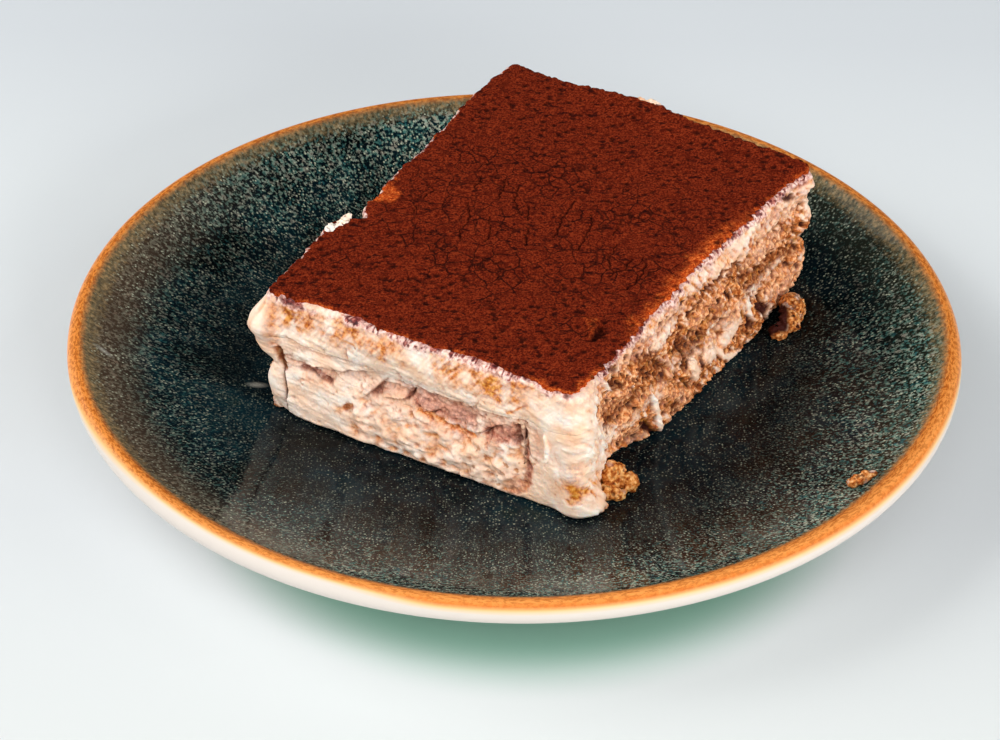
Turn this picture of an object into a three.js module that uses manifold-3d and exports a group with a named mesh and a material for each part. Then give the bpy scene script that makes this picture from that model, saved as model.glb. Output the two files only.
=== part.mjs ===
// A square-cut slice of tiramisu on a small coupe dessert plate.
// Millimetres, +Z up. The origin is the centre of the plate's foot, on the table.
// The slice is built as it was assembled: soaked sponge, cream, soaked sponge, cream and a skin
// of cocoa. Heights inside the slice are counted from its underside, and the whole slice
// follows the curve of the plate that carries it.

import * as THREE from 'three';
import { ImprovedNoise } from 'three/addons/math/ImprovedNoise.js';
import { mergeVertices } from 'three/addons/utils/BufferGeometryUtils.js';
import Module from 'manifold-3d';

const wasm = await Module();
wasm.setup();

// ---------------------------------------------------------------- driving dimensions

const plate = {
  floorHeight: 4.8, // glazed floor above the table
  levelRadius: 45, // the floor is level out to here, then rises as a parabola
  wallRadius: 97.4, // where the parabola meets the rolled lip
  wallHeight: 19.6,
  lipCentre: [98.9, 18.0], // radius and height of the roll's middle
  lipRadii: [2.6, 2.4], // outwards and upwards
  lipStart: 125, // degrees, the roll's inner end
  lipEnd: -50, // degrees, the roll's outer end under the lip
  underPull: [92, 9.6], // control point of the curved underside
  footOuter: 62,
  footInner: 58,
  footDepth: 1.4, // recess inside the foot ring
  segments: 72,
  wallSteps: 7,
  lipSteps: 5,
  underSteps: 4,
};

// Top corners of the slice, walked from the left corner along the front cut.
const corners = {
  left: [-55.1, -14.7],
  near: [13.5, -52.1],
  right: [67.0, 35.5],
  far: [-1.7, 79.1],
};
const cornerRounding = 2.4;

const sliceHeight = 33;
const restGap = 0.3; // clearance between pieces that touch
const crumbGap = 0.6; // clearance that the broken pieces are cut back to
const topLift = { alongX: 0.0076, alongY: 0.0284 }; // slopes: the far end rides up the plate
const cocoaThickness = 0.7;
const cocoaInset = 0.985; // the cocoa stops a little inside the cut edge
const innerRing = 0.55; // one ring between each layer's rim and its middle
const perimeterSteps = 112;

// Tops of the layers, as [side, distance along the side, height].
const lowerSpongeTop = [
  ['front', 4, 14], ['front', 26, 14.5], ['front', 52, 13], ['front', 70, 13],
  ['right', 20, 10], ['right', 44, 12], ['right', 66, 10], ['right', 92, 12.5],
  ['back', 12, 13], ['back', 44, 11.5], ['back', 74, 13],
  ['rear', 30, 12], ['rear', 62, 14], ['rear', 92, 12.5],
];
const middleCreamTop = [
  ['front', 4, 16], ['front', 26, 16.2], ['front', 52, 15], ['front', 70, 15],
  ['right', 20, 13], ['right', 44, 16.5], ['right', 66, 15.5], ['right', 92, 15],
  ['back', 12, 15.5], ['back', 44, 14.5], ['back', 74, 16],
  ['rear', 30, 15], ['rear', 62, 16.5], ['rear', 92, 15],
];
const upperSpongeTop = [
  ['front', 4, 21.5], ['front', 26, 21], ['front', 52, 21.5], ['front', 70, 22],
  ['right', 16, 27.5], ['right', 36, 24], ['right', 52, 28], ['right', 74, 25.5], ['right', 96, 24],
  ['back', 12, 24], ['back', 44, 26.5], ['back', 74, 25],
  ['rear', 30, 25], ['rear', 62, 23], ['rear', 92, 24.5],
];

// Swellings (out > 0) and hollows (out < 0) of the cut faces: distance along the side, height
// above the slice's underside, reach outwards, half-width along the face and half-width in height.
const faceForms = [
  // front cut: the seam at mid height, its pockets, the end of the lower biscuit
  { side: 'front', along: 34, height: 18, out: -1.5, wide: 22, high: 3 },
  { side: 'front', along: 9, height: 15.5, out: -1.2, wide: 1.8, high: 2 },
  { side: 'front', along: 16, height: 15, out: -1.2, wide: 1.8, high: 1.8 },
  { side: 'front', along: 65, height: 15, out: -1.6, wide: 1.6, high: 7 },
  { side: 'front', along: 30, height: 27, out: 0.9, wide: 14, high: 4 },
  { side: 'front', along: 52, height: 26, out: 0.8, wide: 9, high: 4 },
  { side: 'front', along: 36, height: 7, out: 0.8, wide: 20, high: 4 },
  // left corner: two lobes of cream with a pinch between them
  { side: 'rear', along: 104.5, height: 24, out: 4.2, wide: 4.2, high: 5.5 },
  { side: 'rear', along: 105, height: 17.5, out: 2.4, wide: 3.5, high: 2.6 },
  { side: 'rear', along: 104, height: 13.4, out: -1.8, wide: 4, high: 1.5 },
  { side: 'rear', along: 103, height: 7.5, out: 1.6, wide: 5, high: 3.5 },
  { side: 'front', along: 2, height: 0, out: -1.6, wide: 4, high: 3 },
  // right cut: set back under the upper biscuit, with drips and a groove
  { side: 'right', along: 55, height: 33, out: -1.3, wide: 30, high: 6 },
  { side: 'right', along: 24, height: 2, out: -3, wide: 8, high: 5 },
  { side: 'right', along: 39.5, height: 5, out: 1.6, wide: 2.4, high: 4.5 },
  { side: 'right', along: 58, height: 9, out: 1.2, wide: 6, high: 4 },
  { side: 'right', along: 64, height: 10, out: -1.8, wide: 1.8, high: 4.5 },
  { side: 'right', along: 72, height: 11, out: 1.4, wide: 3.5, high: 4 },
  { side: 'right', along: 80, height: 5, out: 1.6, wide: 8, high: 5 },
  { side: 'right', along: 14, height: 22, out: -1.3, wide: 5, high: 5 },
  { side: 'right', along: 44, height: 20, out: -1, wide: 9, high: 5 },
  // right corner: a ragged outline
  { side: 'right', along: 101, height: 29, out: 1.6, wide: 3, high: 2.4 },
  { side: 'right', along: 101, height: 18, out: 1.2, wide: 4, high: 2 },
  { side: 'right', along: 100, height: 9, out: 1.6, wide: 4, high: 3 },
  // rear cut: the broken edge with two dabs of cream
  { side: 'rear', along: 67.5, height: 31, out: -3.6, wide: 4.2, high: 7 },
  { side: 'rear', along: 75, height: 31.5, out: 2.2, wide: 2.8, high: 2 },
  { side: 'rear', along: 88, height: 31, out: 1.2, wide: 12, high: 5 },
  { side: 'rear', along: 16, height: 30, out: 1.6, wide: 14, high: 6 },
  { side: 'rear', along: 40, height: 18, out: -1.4, wide: 16, high: 4 },
  { side: 'back', along: 40, height: 32, out: 2.4, wide: 32, high: 9 },
  { side: 'back', along: 40, height: 19, out: -1.4, wide: 14, high: 4 },
  { side: 'back', along: 62, height: 9, out: 1.2, wide: 9, high: 5 },
];

// Cream wraps down the near corner, where the biscuits end short, and spreads at its foot.
const cornerColumn = { radius: 12.6, top: 30.5, tuck: 1.2 };
const cornerForms = [
  { side: 'right', along: 0, height: 14, out: 1.5, wide: 9, high: 22 },
  { side: 'right', along: 5, height: 0.5, out: 4.6, wide: 6.5, high: 5 },
  { side: 'front', along: 76, height: 0.5, out: -1.6, wide: 6, high: 5 },
  { side: 'right', along: 4, height: 16, out: 0.8, wide: 5, high: 8 },
];

// Broken pieces of sponge: place on the plate, radii, turn about Z in degrees.
const chunkLobes = [
  { at: [64.6, 25.2], radii: [3.4, 4.8, 3.2], lift: 2.4, turn: 15 },
  { at: [64.2, 19.6], radii: [3.6, 3.8, 3.0], lift: 2.2, turn: -15 },
  { at: [61.6, 15.6], radii: [2.8, 3.2, 2.2], lift: 1.6, turn: 30 },
];
const clusterLobes = [
  { at: [23.8, -41.0], radii: [3.3, 2.8, 2.6], lift: 2.0, turn: 25 },
  { at: [26.3, -40.4], radii: [1.9, 1.8, 1.6], lift: 1.2, turn: 0 },
  { at: [22.6, -44.6], radii: [2.2, 2.0, 1.8], lift: 1.3, turn: 50 },
];
const crumbLobes = [
  { at: [74.2, -53.4], radii: [2.1, 1.6, 1.4], lift: 1.0, turn: 20 },
  { at: [76.7, -51.8], radii: [1.9, 1.5, 1.2], lift: 0.9, turn: 40 },
];

const colours = {
  glaze: 0x1c2b2a,
  spongeLower: 0xc9a074,
  creamMiddle: 0xf0dcc0,
  spongeUpper: 0xa5795a,
  creamTop: 0xf6e4c9,
  cocoa: 0x5a1d0e,
  crumb: 0xb0692f,
};

// ---------------------------------------------------------------- plate

const radians = THREE.MathUtils.degToRad;
const { lerp, clamp } = THREE.MathUtils;

/** Height of the plate's floor above the table, at a radius from the plate's middle. */
function plateFloor(radius) {
  const out = Math.max(radius - plate.levelRadius, 0) / (plate.wallRadius - plate.levelRadius);
  return plate.floorHeight + (plate.wallHeight - plate.floorHeight) * out * out;
}

/** Cross-section of the plate, from the middle of its floor round the lip to its underside. */
function plateProfile() {
  const points = [new THREE.Vector2(0, plate.floorHeight)];
  for (let i = 0; i < plate.wallSteps; i += 1) {
    const radius = lerp(plate.levelRadius, plate.wallRadius, i / plate.wallSteps);
    points.push(new THREE.Vector2(radius, plateFloor(radius)));
  }
  for (let i = 0; i <= plate.lipSteps; i += 1) {
    const angle = radians(lerp(plate.lipStart, plate.lipEnd, i / plate.lipSteps));
    const radius = plate.lipCentre[0] + plate.lipRadii[0] * Math.cos(angle);
    const height = plate.lipCentre[1] + plate.lipRadii[1] * Math.sin(angle);
    points.push(new THREE.Vector2(radius, height));
  }
  const lipEnd = points.at(-1);
  const footTop = new THREE.Vector2(plate.footOuter + 1.5, 2.2);
  const under = new THREE.QuadraticBezierCurve(lipEnd, new THREE.Vector2(...plate.underPull), footTop);
  points.push(...under.getPoints(plate.underSteps).slice(1));
  points.push(
    new THREE.Vector2(plate.footOuter, 0.5),
    new THREE.Vector2(plate.footOuter - 0.4, 0),
    new THREE.Vector2(plate.footInner + 0.4, 0),
    new THREE.Vector2(plate.footInner, 0.5),
    new THREE.Vector2(plate.footInner - 0.8, plate.footDepth),
    new THREE.Vector2(0, plate.footDepth),
  );
  return points.reverse();
}

function plateGeometry() {
  const geometry = new THREE.LatheGeometry(plateProfile(), plate.segments);
  return geometry.rotateX(Math.PI / 2);
}

// ---------------------------------------------------------------- outline of the slice

const cornerPoints = Object.values(corners).map(([x, y]) => new THREE.Vector2(x, y));
const sideNames = ['front', 'right', 'back', 'rear'];
const sides = cornerPoints.map((start, i) => {
  const end = cornerPoints[(i + 1) % cornerPoints.length];
  const run = end.clone().sub(start);
  return { start, length: run.length(), direction: run.normalize() };
});
const sideStarts = sides.map((_, i) => sides.slice(0, i).reduce((sum, side) => sum + side.length, 0));
const perimeter = sides.reduce((sum, side) => sum + side.length, 0);
const middle = cornerPoints.reduce((sum, p) => sum.add(p), new THREE.Vector2()).divideScalar(4);

/** Distance round the slice of a place on one of its sides. */
function placeOn(side, along) {
  return sideStarts[sideNames.indexOf(side)] + along;
}

/** Point of the top outline and its outward normal, at a distance round the slice. */
function outlineAt(distance) {
  const index = sideStarts.findLastIndex((start) => distance >= start);
  const side = sides[index];
  const along = distance - sideStarts[index];
  const beforeEnd = side.length - along;
  const point = side.start.clone().addScaledVector(side.direction, along);
  const tangent = side.direction.clone();
  const nearStart = along < cornerRounding;
  if (nearStart || beforeEnd < cornerRounding) {
    const cornerIndex = nearStart ? index : (index + 1) % sides.length;
    const arriving = sides[(cornerIndex + sides.length - 1) % sides.length].direction;
    const leaving = sides[cornerIndex].direction;
    const signed = nearStart ? along : -beforeEnd;
    const t = 0.5 + signed / (2 * cornerRounding);
    const corner = cornerPoints[cornerIndex];
    point.copy(corner)
      .addScaledVector(arriving, -cornerRounding * (1 - t) ** 2)
      .addScaledVector(leaving, cornerRounding * t ** 2);
    tangent.copy(arriving).multiplyScalar(1 - t).addScaledVector(leaving, t).normalize();
  }
  return { point, normal: new THREE.Vector2(tangent.y, -tangent.x) };
}

/** Shortest way round the slice between two distances along its outline. */
function roundGap(a, b) {
  const gap = Math.abs(a - b) % perimeter;
  return Math.min(gap, perimeter - gap);
}

/** Smooth closed curve through [side, along, height] stations. */
function heightCurve(stations) {
  const knots = stations.map(([side, along, height]) => ({ at: placeOn(side, along), height }));
  return (distance) => {
    const next = knots.findIndex((knot) => knot.at > distance);
    const b = knots[next < 0 ? 0 : next];
    const a = knots[(knots.indexOf(b) + knots.length - 1) % knots.length];
    const span = (b.at - a.at + perimeter) % perimeter;
    const along = (distance - a.at + perimeter) % perimeter;
    return lerp(a.height, b.height, THREE.MathUtils.smoothstep(along / span, 0, 1));
  };
}

const layerTops = {
  base: () => 0,
  lowerSponge: heightCurve(lowerSpongeTop),
  middleCream: heightCurve(middleCreamTop),
  upperSponge: heightCurve(upperSpongeTop),
  topCream: () => sliceHeight - cocoaThickness - restGap,
  cocoa: () => sliceHeight,
};

// ---------------------------------------------------------------- relief of the cut faces

const noise = new ImprovedNoise();
const cragSize = 4.2; // spacing of the sponge's broken lumps
const cragDepth = 1.7;
const smearSize = 9; // spacing of the waves in the spread cream
const smearDepth = 0.9;

/** Sum of the listed swellings and hollows at a place on the cut faces. */
function formsAt(forms, distance, height) {
  return forms.reduce((sum, form) => {
    const sideways = roundGap(distance, placeOn(form.side, form.along)) / form.wide;
    const upwards = (height - form.height) / form.high;
    return sum + form.out * Math.exp(-(sideways ** 2) - upwards ** 2);
  }, 0);
}

/** How far a face stands out of the top outline; t runs from 0 to 1 up through its layer. */
function faceReach(distance, height, t, layer) {
  const { point } = outlineAt(distance);
  const within = Math.sin(Math.PI * t);
  const crag = noise.noise(point.x / cragSize, point.y / cragSize, height / cragSize);
  const smear = noise.noise(point.x / smearSize + 20, point.y / smearSize, height / cragSize);
  const rough = layer.sponge ? cragDepth * crag : smearDepth * smear;
  return formsAt(faceForms, distance, height) + within * (layer.swell + rough);
}

/**
 * A point of the slice: its place in plan and its height above the slice's underside.
 * The underside takes the plate's curve and the top stays flat, tilted up towards the far end.
 */
function slicePoint(x, y, height) {
  const underLift = plateFloor(Math.hypot(x, y)) - plate.floorHeight;
  const [nearX, nearY] = corners.near;
  const flatLift = topLift.alongX * (x - nearX) + topLift.alongY * (y - nearY);
  const lift = lerp(underLift, flatLift, clamp(height / sliceHeight, 0, 1));
  return [x, y, plate.floorHeight + restGap + height + lift];
}

// ---------------------------------------------------------------- layer solids

/** Closed solid from rings of equal length, capped by fans at both ends. */
function ringSolid(rings, bottomCentre, topCentre) {
  const count = rings[0].length;
  const positions = rings.flat(2).concat(bottomCentre, topCentre);
  const indices = [];
  const bottom = rings.length * count;
  const top = bottom + 1;
  for (let i = 0; i < count; i += 1) {
    const j = (i + 1) % count;
    for (let k = 0; k < rings.length - 1; k += 1) {
      const low = k * count;
      const high = low + count;
      indices.push(low + i, low + j, high + j, low + i, high + j, high + i);
    }
    const last = (rings.length - 1) * count;
    indices.push(bottom, j, i, top, last + i, last + j);
  }
  const geometry = new THREE.BufferGeometry();
  geometry.setAttribute('position', new THREE.Float32BufferAttribute(positions, 3));
  geometry.setIndex(indices);
  return geometry;
}

/** One horizontal layer of the slice between two height curves. */
function layerGeometry(layer) {
  const lower = layerTops[layer.from];
  const upper = layerTops[layer.to];
  const grow = layer.grow ?? 0;
  const bottomGap = layer.from === 'base' ? -grow : restGap / 2 - grow;
  const topGap = grow - restGap / 2;
  const meanOf = (curve) => sides.reduce((sum, _, i) => sum + curve(sideStarts[i] + 30), 0) / sides.length;
  const ringAt = (t, scale) => Array.from({ length: perimeterSteps }, (_, i) => {
    const distance = (i + 0.5) * perimeter / perimeterSteps;
    const height = lerp(lower(distance), upper(distance), t);
    const { point, normal } = outlineAt(distance);
    const reach = faceReach(distance, height, t, layer);
    const edge = point.clone().addScaledVector(normal, reach + grow);
    const inside = middle.clone().lerp(edge, scale);
    const mean = lerp(meanOf(lower), meanOf(upper), t);
    const level = lerp(mean, height, scale);
    const gap = lerp(bottomGap, topGap, t);
    return slicePoint(inside.x, inside.y, level + gap);
  });
  const rim = layer.skin ? cocoaInset : 1;
  const rings = [ringAt(0, innerRing)];
  for (let k = 0; k <= layer.steps; k += 1) {
    rings.push(ringAt(k / layer.steps, rim));
  }
  if (layer.to === 'topCream') {
    rings.push(ringAt(1, cocoaInset));
  }
  rings.push(ringAt(1, innerRing));
  const bottomCentre = slicePoint(middle.x, middle.y, meanOf(lower) + bottomGap);
  const topCentre = slicePoint(middle.x, middle.y, meanOf(upper) + topGap);
  return ringSolid(rings, bottomCentre, topCentre);
}

const layers = {
  sponge_lower: { from: 'base', to: 'lowerSponge', steps: 5, swell: -0.2, sponge: true },
  cream_middle: { from: 'lowerSponge', to: 'middleCream', steps: 2, swell: 0.7 },
  sponge_upper: { from: 'middleCream', to: 'upperSponge', steps: 4, swell: -0.5, sponge: true },
  cream_top: { from: 'upperSponge', to: 'topCream', steps: 4, swell: 0.7 },
  cocoa: { from: 'topCream', to: 'cocoa', steps: 1, swell: 0, skin: true },
};

// ---------------------------------------------------------------- solids that are joined or cut

function toSolid(geometry) {
  const bare = geometry.clone();
  bare.deleteAttribute('normal');
  bare.deleteAttribute('uv');
  const merged = mergeVertices(bare, 1e-4);
  return new wasm.Manifold(new wasm.Mesh({
    numProp: 3,
    vertProperties: new Float32Array(merged.attributes.position.array),
    triVerts: new Uint32Array(merged.index.array),
  }));
}

function toGeometry(solid) {
  const { vertProperties, triVerts } = solid.getMesh();
  const geometry = new THREE.BufferGeometry();
  geometry.setAttribute('position', new THREE.Float32BufferAttribute(vertProperties, 3));
  geometry.setIndex(Array.from(triVerts));
  return geometry;
}

/** Upright round post through the near corner, wider by grow. */
function cornerPost(grow) {
  const height = 4 * sliceHeight;
  const geometry = new THREE.CylinderGeometry(
    cornerColumn.radius + grow, cornerColumn.radius + grow, height, 20,
  );
  geometry.rotateX(Math.PI / 2);
  geometry.translate(corners.near[0], corners.near[1], 0);
  return toSolid(geometry);
}

/** The cream that runs down the near corner, swollen at its foot and wider by grow. */
function cornerCream(grow) {
  const steps = 7;
  const count = perimeterSteps;
  const ringAt = (t, scale) => Array.from({ length: count }, (_, i) => {
    const distance = (i + 0.5) * perimeter / count;
    const height = lerp(-grow, cornerColumn.top, t);
    const { point, normal } = outlineAt(distance);
    const fade = Math.min(1, 3 * (1 - t));
    const swelling = fade * formsAt(cornerForms, distance, height);
    const tuck = (1 - fade) * cornerColumn.tuck;
    const reach = formsAt(faceForms, distance, height) + swelling - tuck + grow;
    const edge = point.clone().addScaledVector(normal, reach);
    const inside = middle.clone().lerp(edge, scale);
    return slicePoint(inside.x, inside.y, height);
  });
  const rings = [ringAt(0, innerRing)];
  for (let k = 0; k <= steps; k += 1) {
    rings.push(ringAt(k / steps, 1));
  }
  rings.push(ringAt(1, innerRing));
  const bottomCentre = slicePoint(middle.x, middle.y, -grow);
  const topCentre = slicePoint(middle.x, middle.y, cornerColumn.top);
  return toSolid(ringSolid(rings, bottomCentre, topCentre));
}

/** One lump of broken sponge, kept clear of the plate under it. */
function lumpSolid({ at, radii, lift, turn }, seed) {
  const geometry = new THREE.IcosahedronGeometry(1, 2);
  const position = geometry.attributes.position;
  const vertex = new THREE.Vector3();
  for (let i = 0; i < position.count; i += 1) {
    vertex.fromBufferAttribute(position, i);
    const dent = noise.noise(vertex.x * 1.7 + seed, vertex.y * 1.7, vertex.z * 1.7);
    vertex.multiplyScalar(1 + 0.42 * dent);
    vertex.multiply(new THREE.Vector3(...radii));
    vertex.applyAxisAngle(new THREE.Vector3(0, 0, 1), radians(turn));
    vertex.x += at[0];
    vertex.y += at[1];
    const rest = plateFloor(Math.hypot(vertex.x, vertex.y)) + restGap;
    const centreRest = plateFloor(Math.hypot(...at)) + restGap;
    vertex.z = Math.max(vertex.z + centreRest + lift, rest);
    position.setXYZ(i, vertex.x, vertex.y, vertex.z);
  }
  return toSolid(geometry);
}

function lumpyGeometry(lobes, keptOut) {
  const lumps = lobes.map((lobe, i) => lumpSolid(lobe, 3.7 * i));
  const joined = lumps.reduce((sum, lump) => sum.add(lump));
  const cut = keptOut.reduce((rest, solid) => rest.subtract(solid), joined);
  const largest = cut.decompose().toSorted((a, b) => b.volume() - a.volume())[0];
  return toGeometry(largest);
}

// ---------------------------------------------------------------- the assembled part

const group = new THREE.Group();

function addPiece(name, geometry, color, roughness) {
  const material = new THREE.MeshStandardMaterial({ color, roughness, metalness: 0 });
  const mesh = new THREE.Mesh(geometry, material);
  mesh.name = name;
  group.add(mesh);
}

const post = cornerPost(0);
const postClearance = cornerPost(restGap);
const grownColumn = cornerCream(crumbGap).intersect(cornerPost(crumbGap));
const column = cornerCream(0).intersect(post);
const withoutCorner = (name) => toGeometry(toSolid(layerGeometry(layers[name])).subtract(postClearance));
const topCream = toSolid(layerGeometry(layers.cream_top)).add(column);
const grownSponge = toSolid(layerGeometry({ ...layers.sponge_lower, grow: crumbGap }));

addPiece('plate', plateGeometry(), colours.glaze, 0.18);
addPiece('sponge_lower', withoutCorner('sponge_lower'), colours.spongeLower, 0.9);
addPiece('cream_middle', withoutCorner('cream_middle'), colours.creamMiddle, 0.45);
addPiece('sponge_upper', withoutCorner('sponge_upper'), colours.spongeUpper, 0.85);
addPiece('cream_top', toGeometry(topCream), colours.creamTop, 0.45);
addPiece('cocoa', layerGeometry(layers.cocoa), colours.cocoa, 1);
addPiece('sponge_chunk', lumpyGeometry(chunkLobes, [grownSponge]), colours.crumb, 0.9);
addPiece('crumb_cluster', lumpyGeometry(clusterLobes, [grownSponge, grownColumn]), colours.crumb, 0.9);
addPiece('crumb_on_plate', lumpyGeometry(crumbLobes, []), colours.crumb, 0.9);

export default group;
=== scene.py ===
# %% [markdown]
# # Tiramisu slice on a speckled coupe plate
# A square-cut slice of tiramisu: soaked biscuit, mascarpone cream, soaked biscuit, cream, and a
# skin of cocoa. It stands on a small stoneware plate with a reactive glaze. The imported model
# gives the sizes and places. This script dresses it: every piece is rebuilt with the relief,
# colour and gloss of the real food and glaze, in the same frame.

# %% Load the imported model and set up
import itertools

import bpy
import numpy as np
import openvdb
from mathutils import Matrix, Vector


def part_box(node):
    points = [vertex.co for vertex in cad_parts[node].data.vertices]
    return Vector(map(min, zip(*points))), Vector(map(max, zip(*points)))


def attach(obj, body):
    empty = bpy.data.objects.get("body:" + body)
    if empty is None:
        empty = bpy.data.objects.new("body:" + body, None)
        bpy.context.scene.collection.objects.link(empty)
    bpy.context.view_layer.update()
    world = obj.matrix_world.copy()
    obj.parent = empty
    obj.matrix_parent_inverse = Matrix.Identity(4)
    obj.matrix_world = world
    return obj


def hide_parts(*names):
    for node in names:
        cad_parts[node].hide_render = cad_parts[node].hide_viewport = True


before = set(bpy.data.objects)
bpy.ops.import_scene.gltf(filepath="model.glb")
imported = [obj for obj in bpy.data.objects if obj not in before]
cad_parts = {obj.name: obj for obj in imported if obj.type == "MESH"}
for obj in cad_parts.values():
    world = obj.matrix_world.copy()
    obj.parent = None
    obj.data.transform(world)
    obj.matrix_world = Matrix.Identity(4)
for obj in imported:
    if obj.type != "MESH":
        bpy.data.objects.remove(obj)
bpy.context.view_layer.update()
scene = bpy.context.scene
MM = 0.001
print("CAD nodes:", sorted(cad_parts))

# %% [markdown]
# ## Camera
# The camera is placed before anything else, so that each piece can be judged from where it is
# looked at. A long lens from about 0.8 m away, looking down 36 degrees, gives a flat, calm
# perspective.

# %% Place the camera
CAMERA_PLACE_MM = (0.0, -651.608, 478.043)
CAMERA_RIGHT = (0.99984622, 0.01323071, 0.01151028)
CAMERA_DOWN = (0.01707971, -0.58580584, -0.81027144)
CAMERA_FORWARD = (-0.00397768, 0.81034343, -0.58594173)
FOCAL_LENGTH_MM = 126.0
SENSOR_WIDTH_MM = 36.0

camera_data = bpy.data.cameras.new("camera")
camera_data.lens = FOCAL_LENGTH_MM
camera_data.sensor_width = SENSOR_WIDTH_MM
camera_data.sensor_fit = "HORIZONTAL"
camera = bpy.data.objects.new("camera", camera_data)
scene.collection.objects.link(camera)
axes = Matrix((CAMERA_RIGHT, -Vector(CAMERA_DOWN), -Vector(CAMERA_FORWARD))).transposed()
camera.matrix_world = Matrix.Translation(Vector(CAMERA_PLACE_MM) * MM) @ axes.to_4x4()
scene.camera = camera
print("camera stands", round(Vector(CAMERA_PLACE_MM).length), "mm from the plate's foot")

# %% [markdown]
# ## Helpers for materials
# Colours are written as the sRGB hex values that a colour picker shows, and one function turns
# them into the linear values that Blender's sockets take. Another adds a node to a tree with its
# settings and links, so that every material below reads as a list of what is layered on what.

# %% Colour conversion and the node helper
# a Math node adds and a Mix node mixes plain values, unless a setting says otherwise; a Mix node
# has one set of sockets for each type of data, and these are the numbers for colours
MIX_A, MIX_B = 6, 7
COLOUR_MIX = {"output": 2, "data_type": "RGBA"}
SMOOTH = {"interpolation_type": "SMOOTHSTEP"}


def linear(hex_colour):
    """An sRGB hex colour as linear red, green, blue and alpha."""
    channels = [int(hex_colour[i:i + 2], 16) / 255 for i in (0, 2, 4)]
    return tuple(c / 12.92 if c <= 0.04045 else ((c + 0.055) / 1.055) ** 2.4 for c in channels) + (1.0,)


def add_node(tree, kind, inputs=None, output=0, stops=None, **settings):
    """Adds a node and returns one of its outputs; an input is a value or another node's output."""
    node = tree.nodes.new(kind)
    for name, value in settings.items():
        setattr(node, name, value)
    for key, value in (inputs or {}).items():
        if isinstance(value, bpy.types.NodeSocket):
            tree.links.new(value, node.inputs[key])
        else:
            node.inputs[key].default_value = linear(value) if isinstance(value, str) else value
    if stops:
        elements = node.color_ramp.elements
        while len(elements) < len(stops):
            elements.new(1.0)
        for element, (position, colour) in zip(elements, stops):
            element.position = position
            element.color = linear(colour)
    return node.outputs[output]


def new_material(name, constants):
    """A material with its Principled shader, whose constant sockets are set here."""
    material = bpy.data.materials.new(name)
    material.use_nodes = True
    shader = material.node_tree.nodes["Principled BSDF"]
    for socket, value in constants.items():
        shader.inputs[socket].default_value = value
    return material, material.node_tree, shader


def per_mm(size_mm):
    """Scale of a texture on Object coordinates whose features are size_mm apart."""
    return 1.0 / (size_mm * MM)


# %% [markdown]
# ## Table and light
# The plate stands on painted board, pale grey-blue in the light. Its paint runs lighter and darker
# from front to back as painted light, for uneven light and the plate's shade. Under the plate's
# front a soft round patch of darker mint is painted as its shadow, since these nearly white lights
# alone don't give a mint shadow. Five soft area lights stand round it: one overhead, two windows on
# the left, one window on the right and a strip low in front on the right, which brightens the torn
# cut. The room itself is dim, because a dark glaze mirrors it.

# %% Table top
PAINTED_SHADOW_CENTRE_MM = (3, -30, 0)
PAINTED_SHADOW_RADII_MM = (58, 78)
PAINTED_LIGHT_FRONT_M, PAINTED_LIGHT_BACK_M = -0.12, 0.35

table_material, tree, shader = new_material("painted table top", {
    "Roughness": 0.65, "Specular IOR Level": 0.2,
})
position = add_node(tree, "ShaderNodeTexCoord", output="Object")
off_centre = add_node(tree, "ShaderNodeVectorMath", {
    0: position, 1: tuple(place * MM for place in PAINTED_SHADOW_CENTRE_MM),
}, operation="SUBTRACT")
distance = add_node(tree, "ShaderNodeVectorMath", {0: off_centre}, "Value", operation="LENGTH")
# painted shadow: a soft round patch of darker mint under the plate's front, where its shadow falls
painted_shadow = add_node(tree, "ShaderNodeMapRange", {
    "Value": distance, "From Min": PAINTED_SHADOW_RADII_MM[1] * MM, "From Max": PAINTED_SHADOW_RADII_MM[0] * MM,
}, **SMOOTH)
depth = add_node(tree, "ShaderNodeSeparateXYZ", {0: position}, "Y")
fading = add_node(tree, "ShaderNodeMapRange", {
    "Value": depth, "From Min": PAINTED_LIGHT_FRONT_M, "From Max": PAINTED_LIGHT_BACK_M,
})
# painted light: the board's paint is lighter and darker in bands from front to back, for uneven light and the
# plate's shade
paint = add_node(tree, "ShaderNodeValToRGB", {"Fac": fading}, stops=[
    (0.0, "DFE5E8"), (0.16, "DBE1E7"), (0.33, "E4EBF1"), (0.44, "E1E8EE"), (0.6, "D5DCE4"), (1.0, "CED6DF"),
])
shadowed_paint = add_node(tree, "ShaderNodeMix", {0: painted_shadow, MIX_A: paint, MIX_B: "90BAAC"}, **COLOUR_MIX)
tree.links.new(shadowed_paint, shader.inputs["Base Color"])

TABLE_SIZE_M = 6.0
half = TABLE_SIZE_M / 2
table_mesh = bpy.data.meshes.new("table_top")
table_mesh.from_pydata(
    [(-half, -half, 0), (half, -half, 0), (half, half, 0), (-half, half, 0)], [], [(0, 1, 2, 3)]
)
table_mesh.materials.append(table_material)
table = bpy.data.objects.new("table_top", table_mesh)
scene.collection.objects.link(table)
print("table top is", TABLE_SIZE_M, "m wide")

# %% Soft lights and the dim room
def soft_light(name, place, size, power, colour):
    """A square area light that points at the middle of the plate."""
    data = bpy.data.lights.new(name, "AREA")
    data.shape = "RECTANGLE"
    data.size, data.size_y = size
    data.energy = power
    data.color = linear(colour)[:3]
    light = bpy.data.objects.new(name, data)
    light.location = place
    light.rotation_euler = (-Vector(place)).to_track_quat("-Z", "Y").to_euler()
    scene.collection.objects.link(light)


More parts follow.
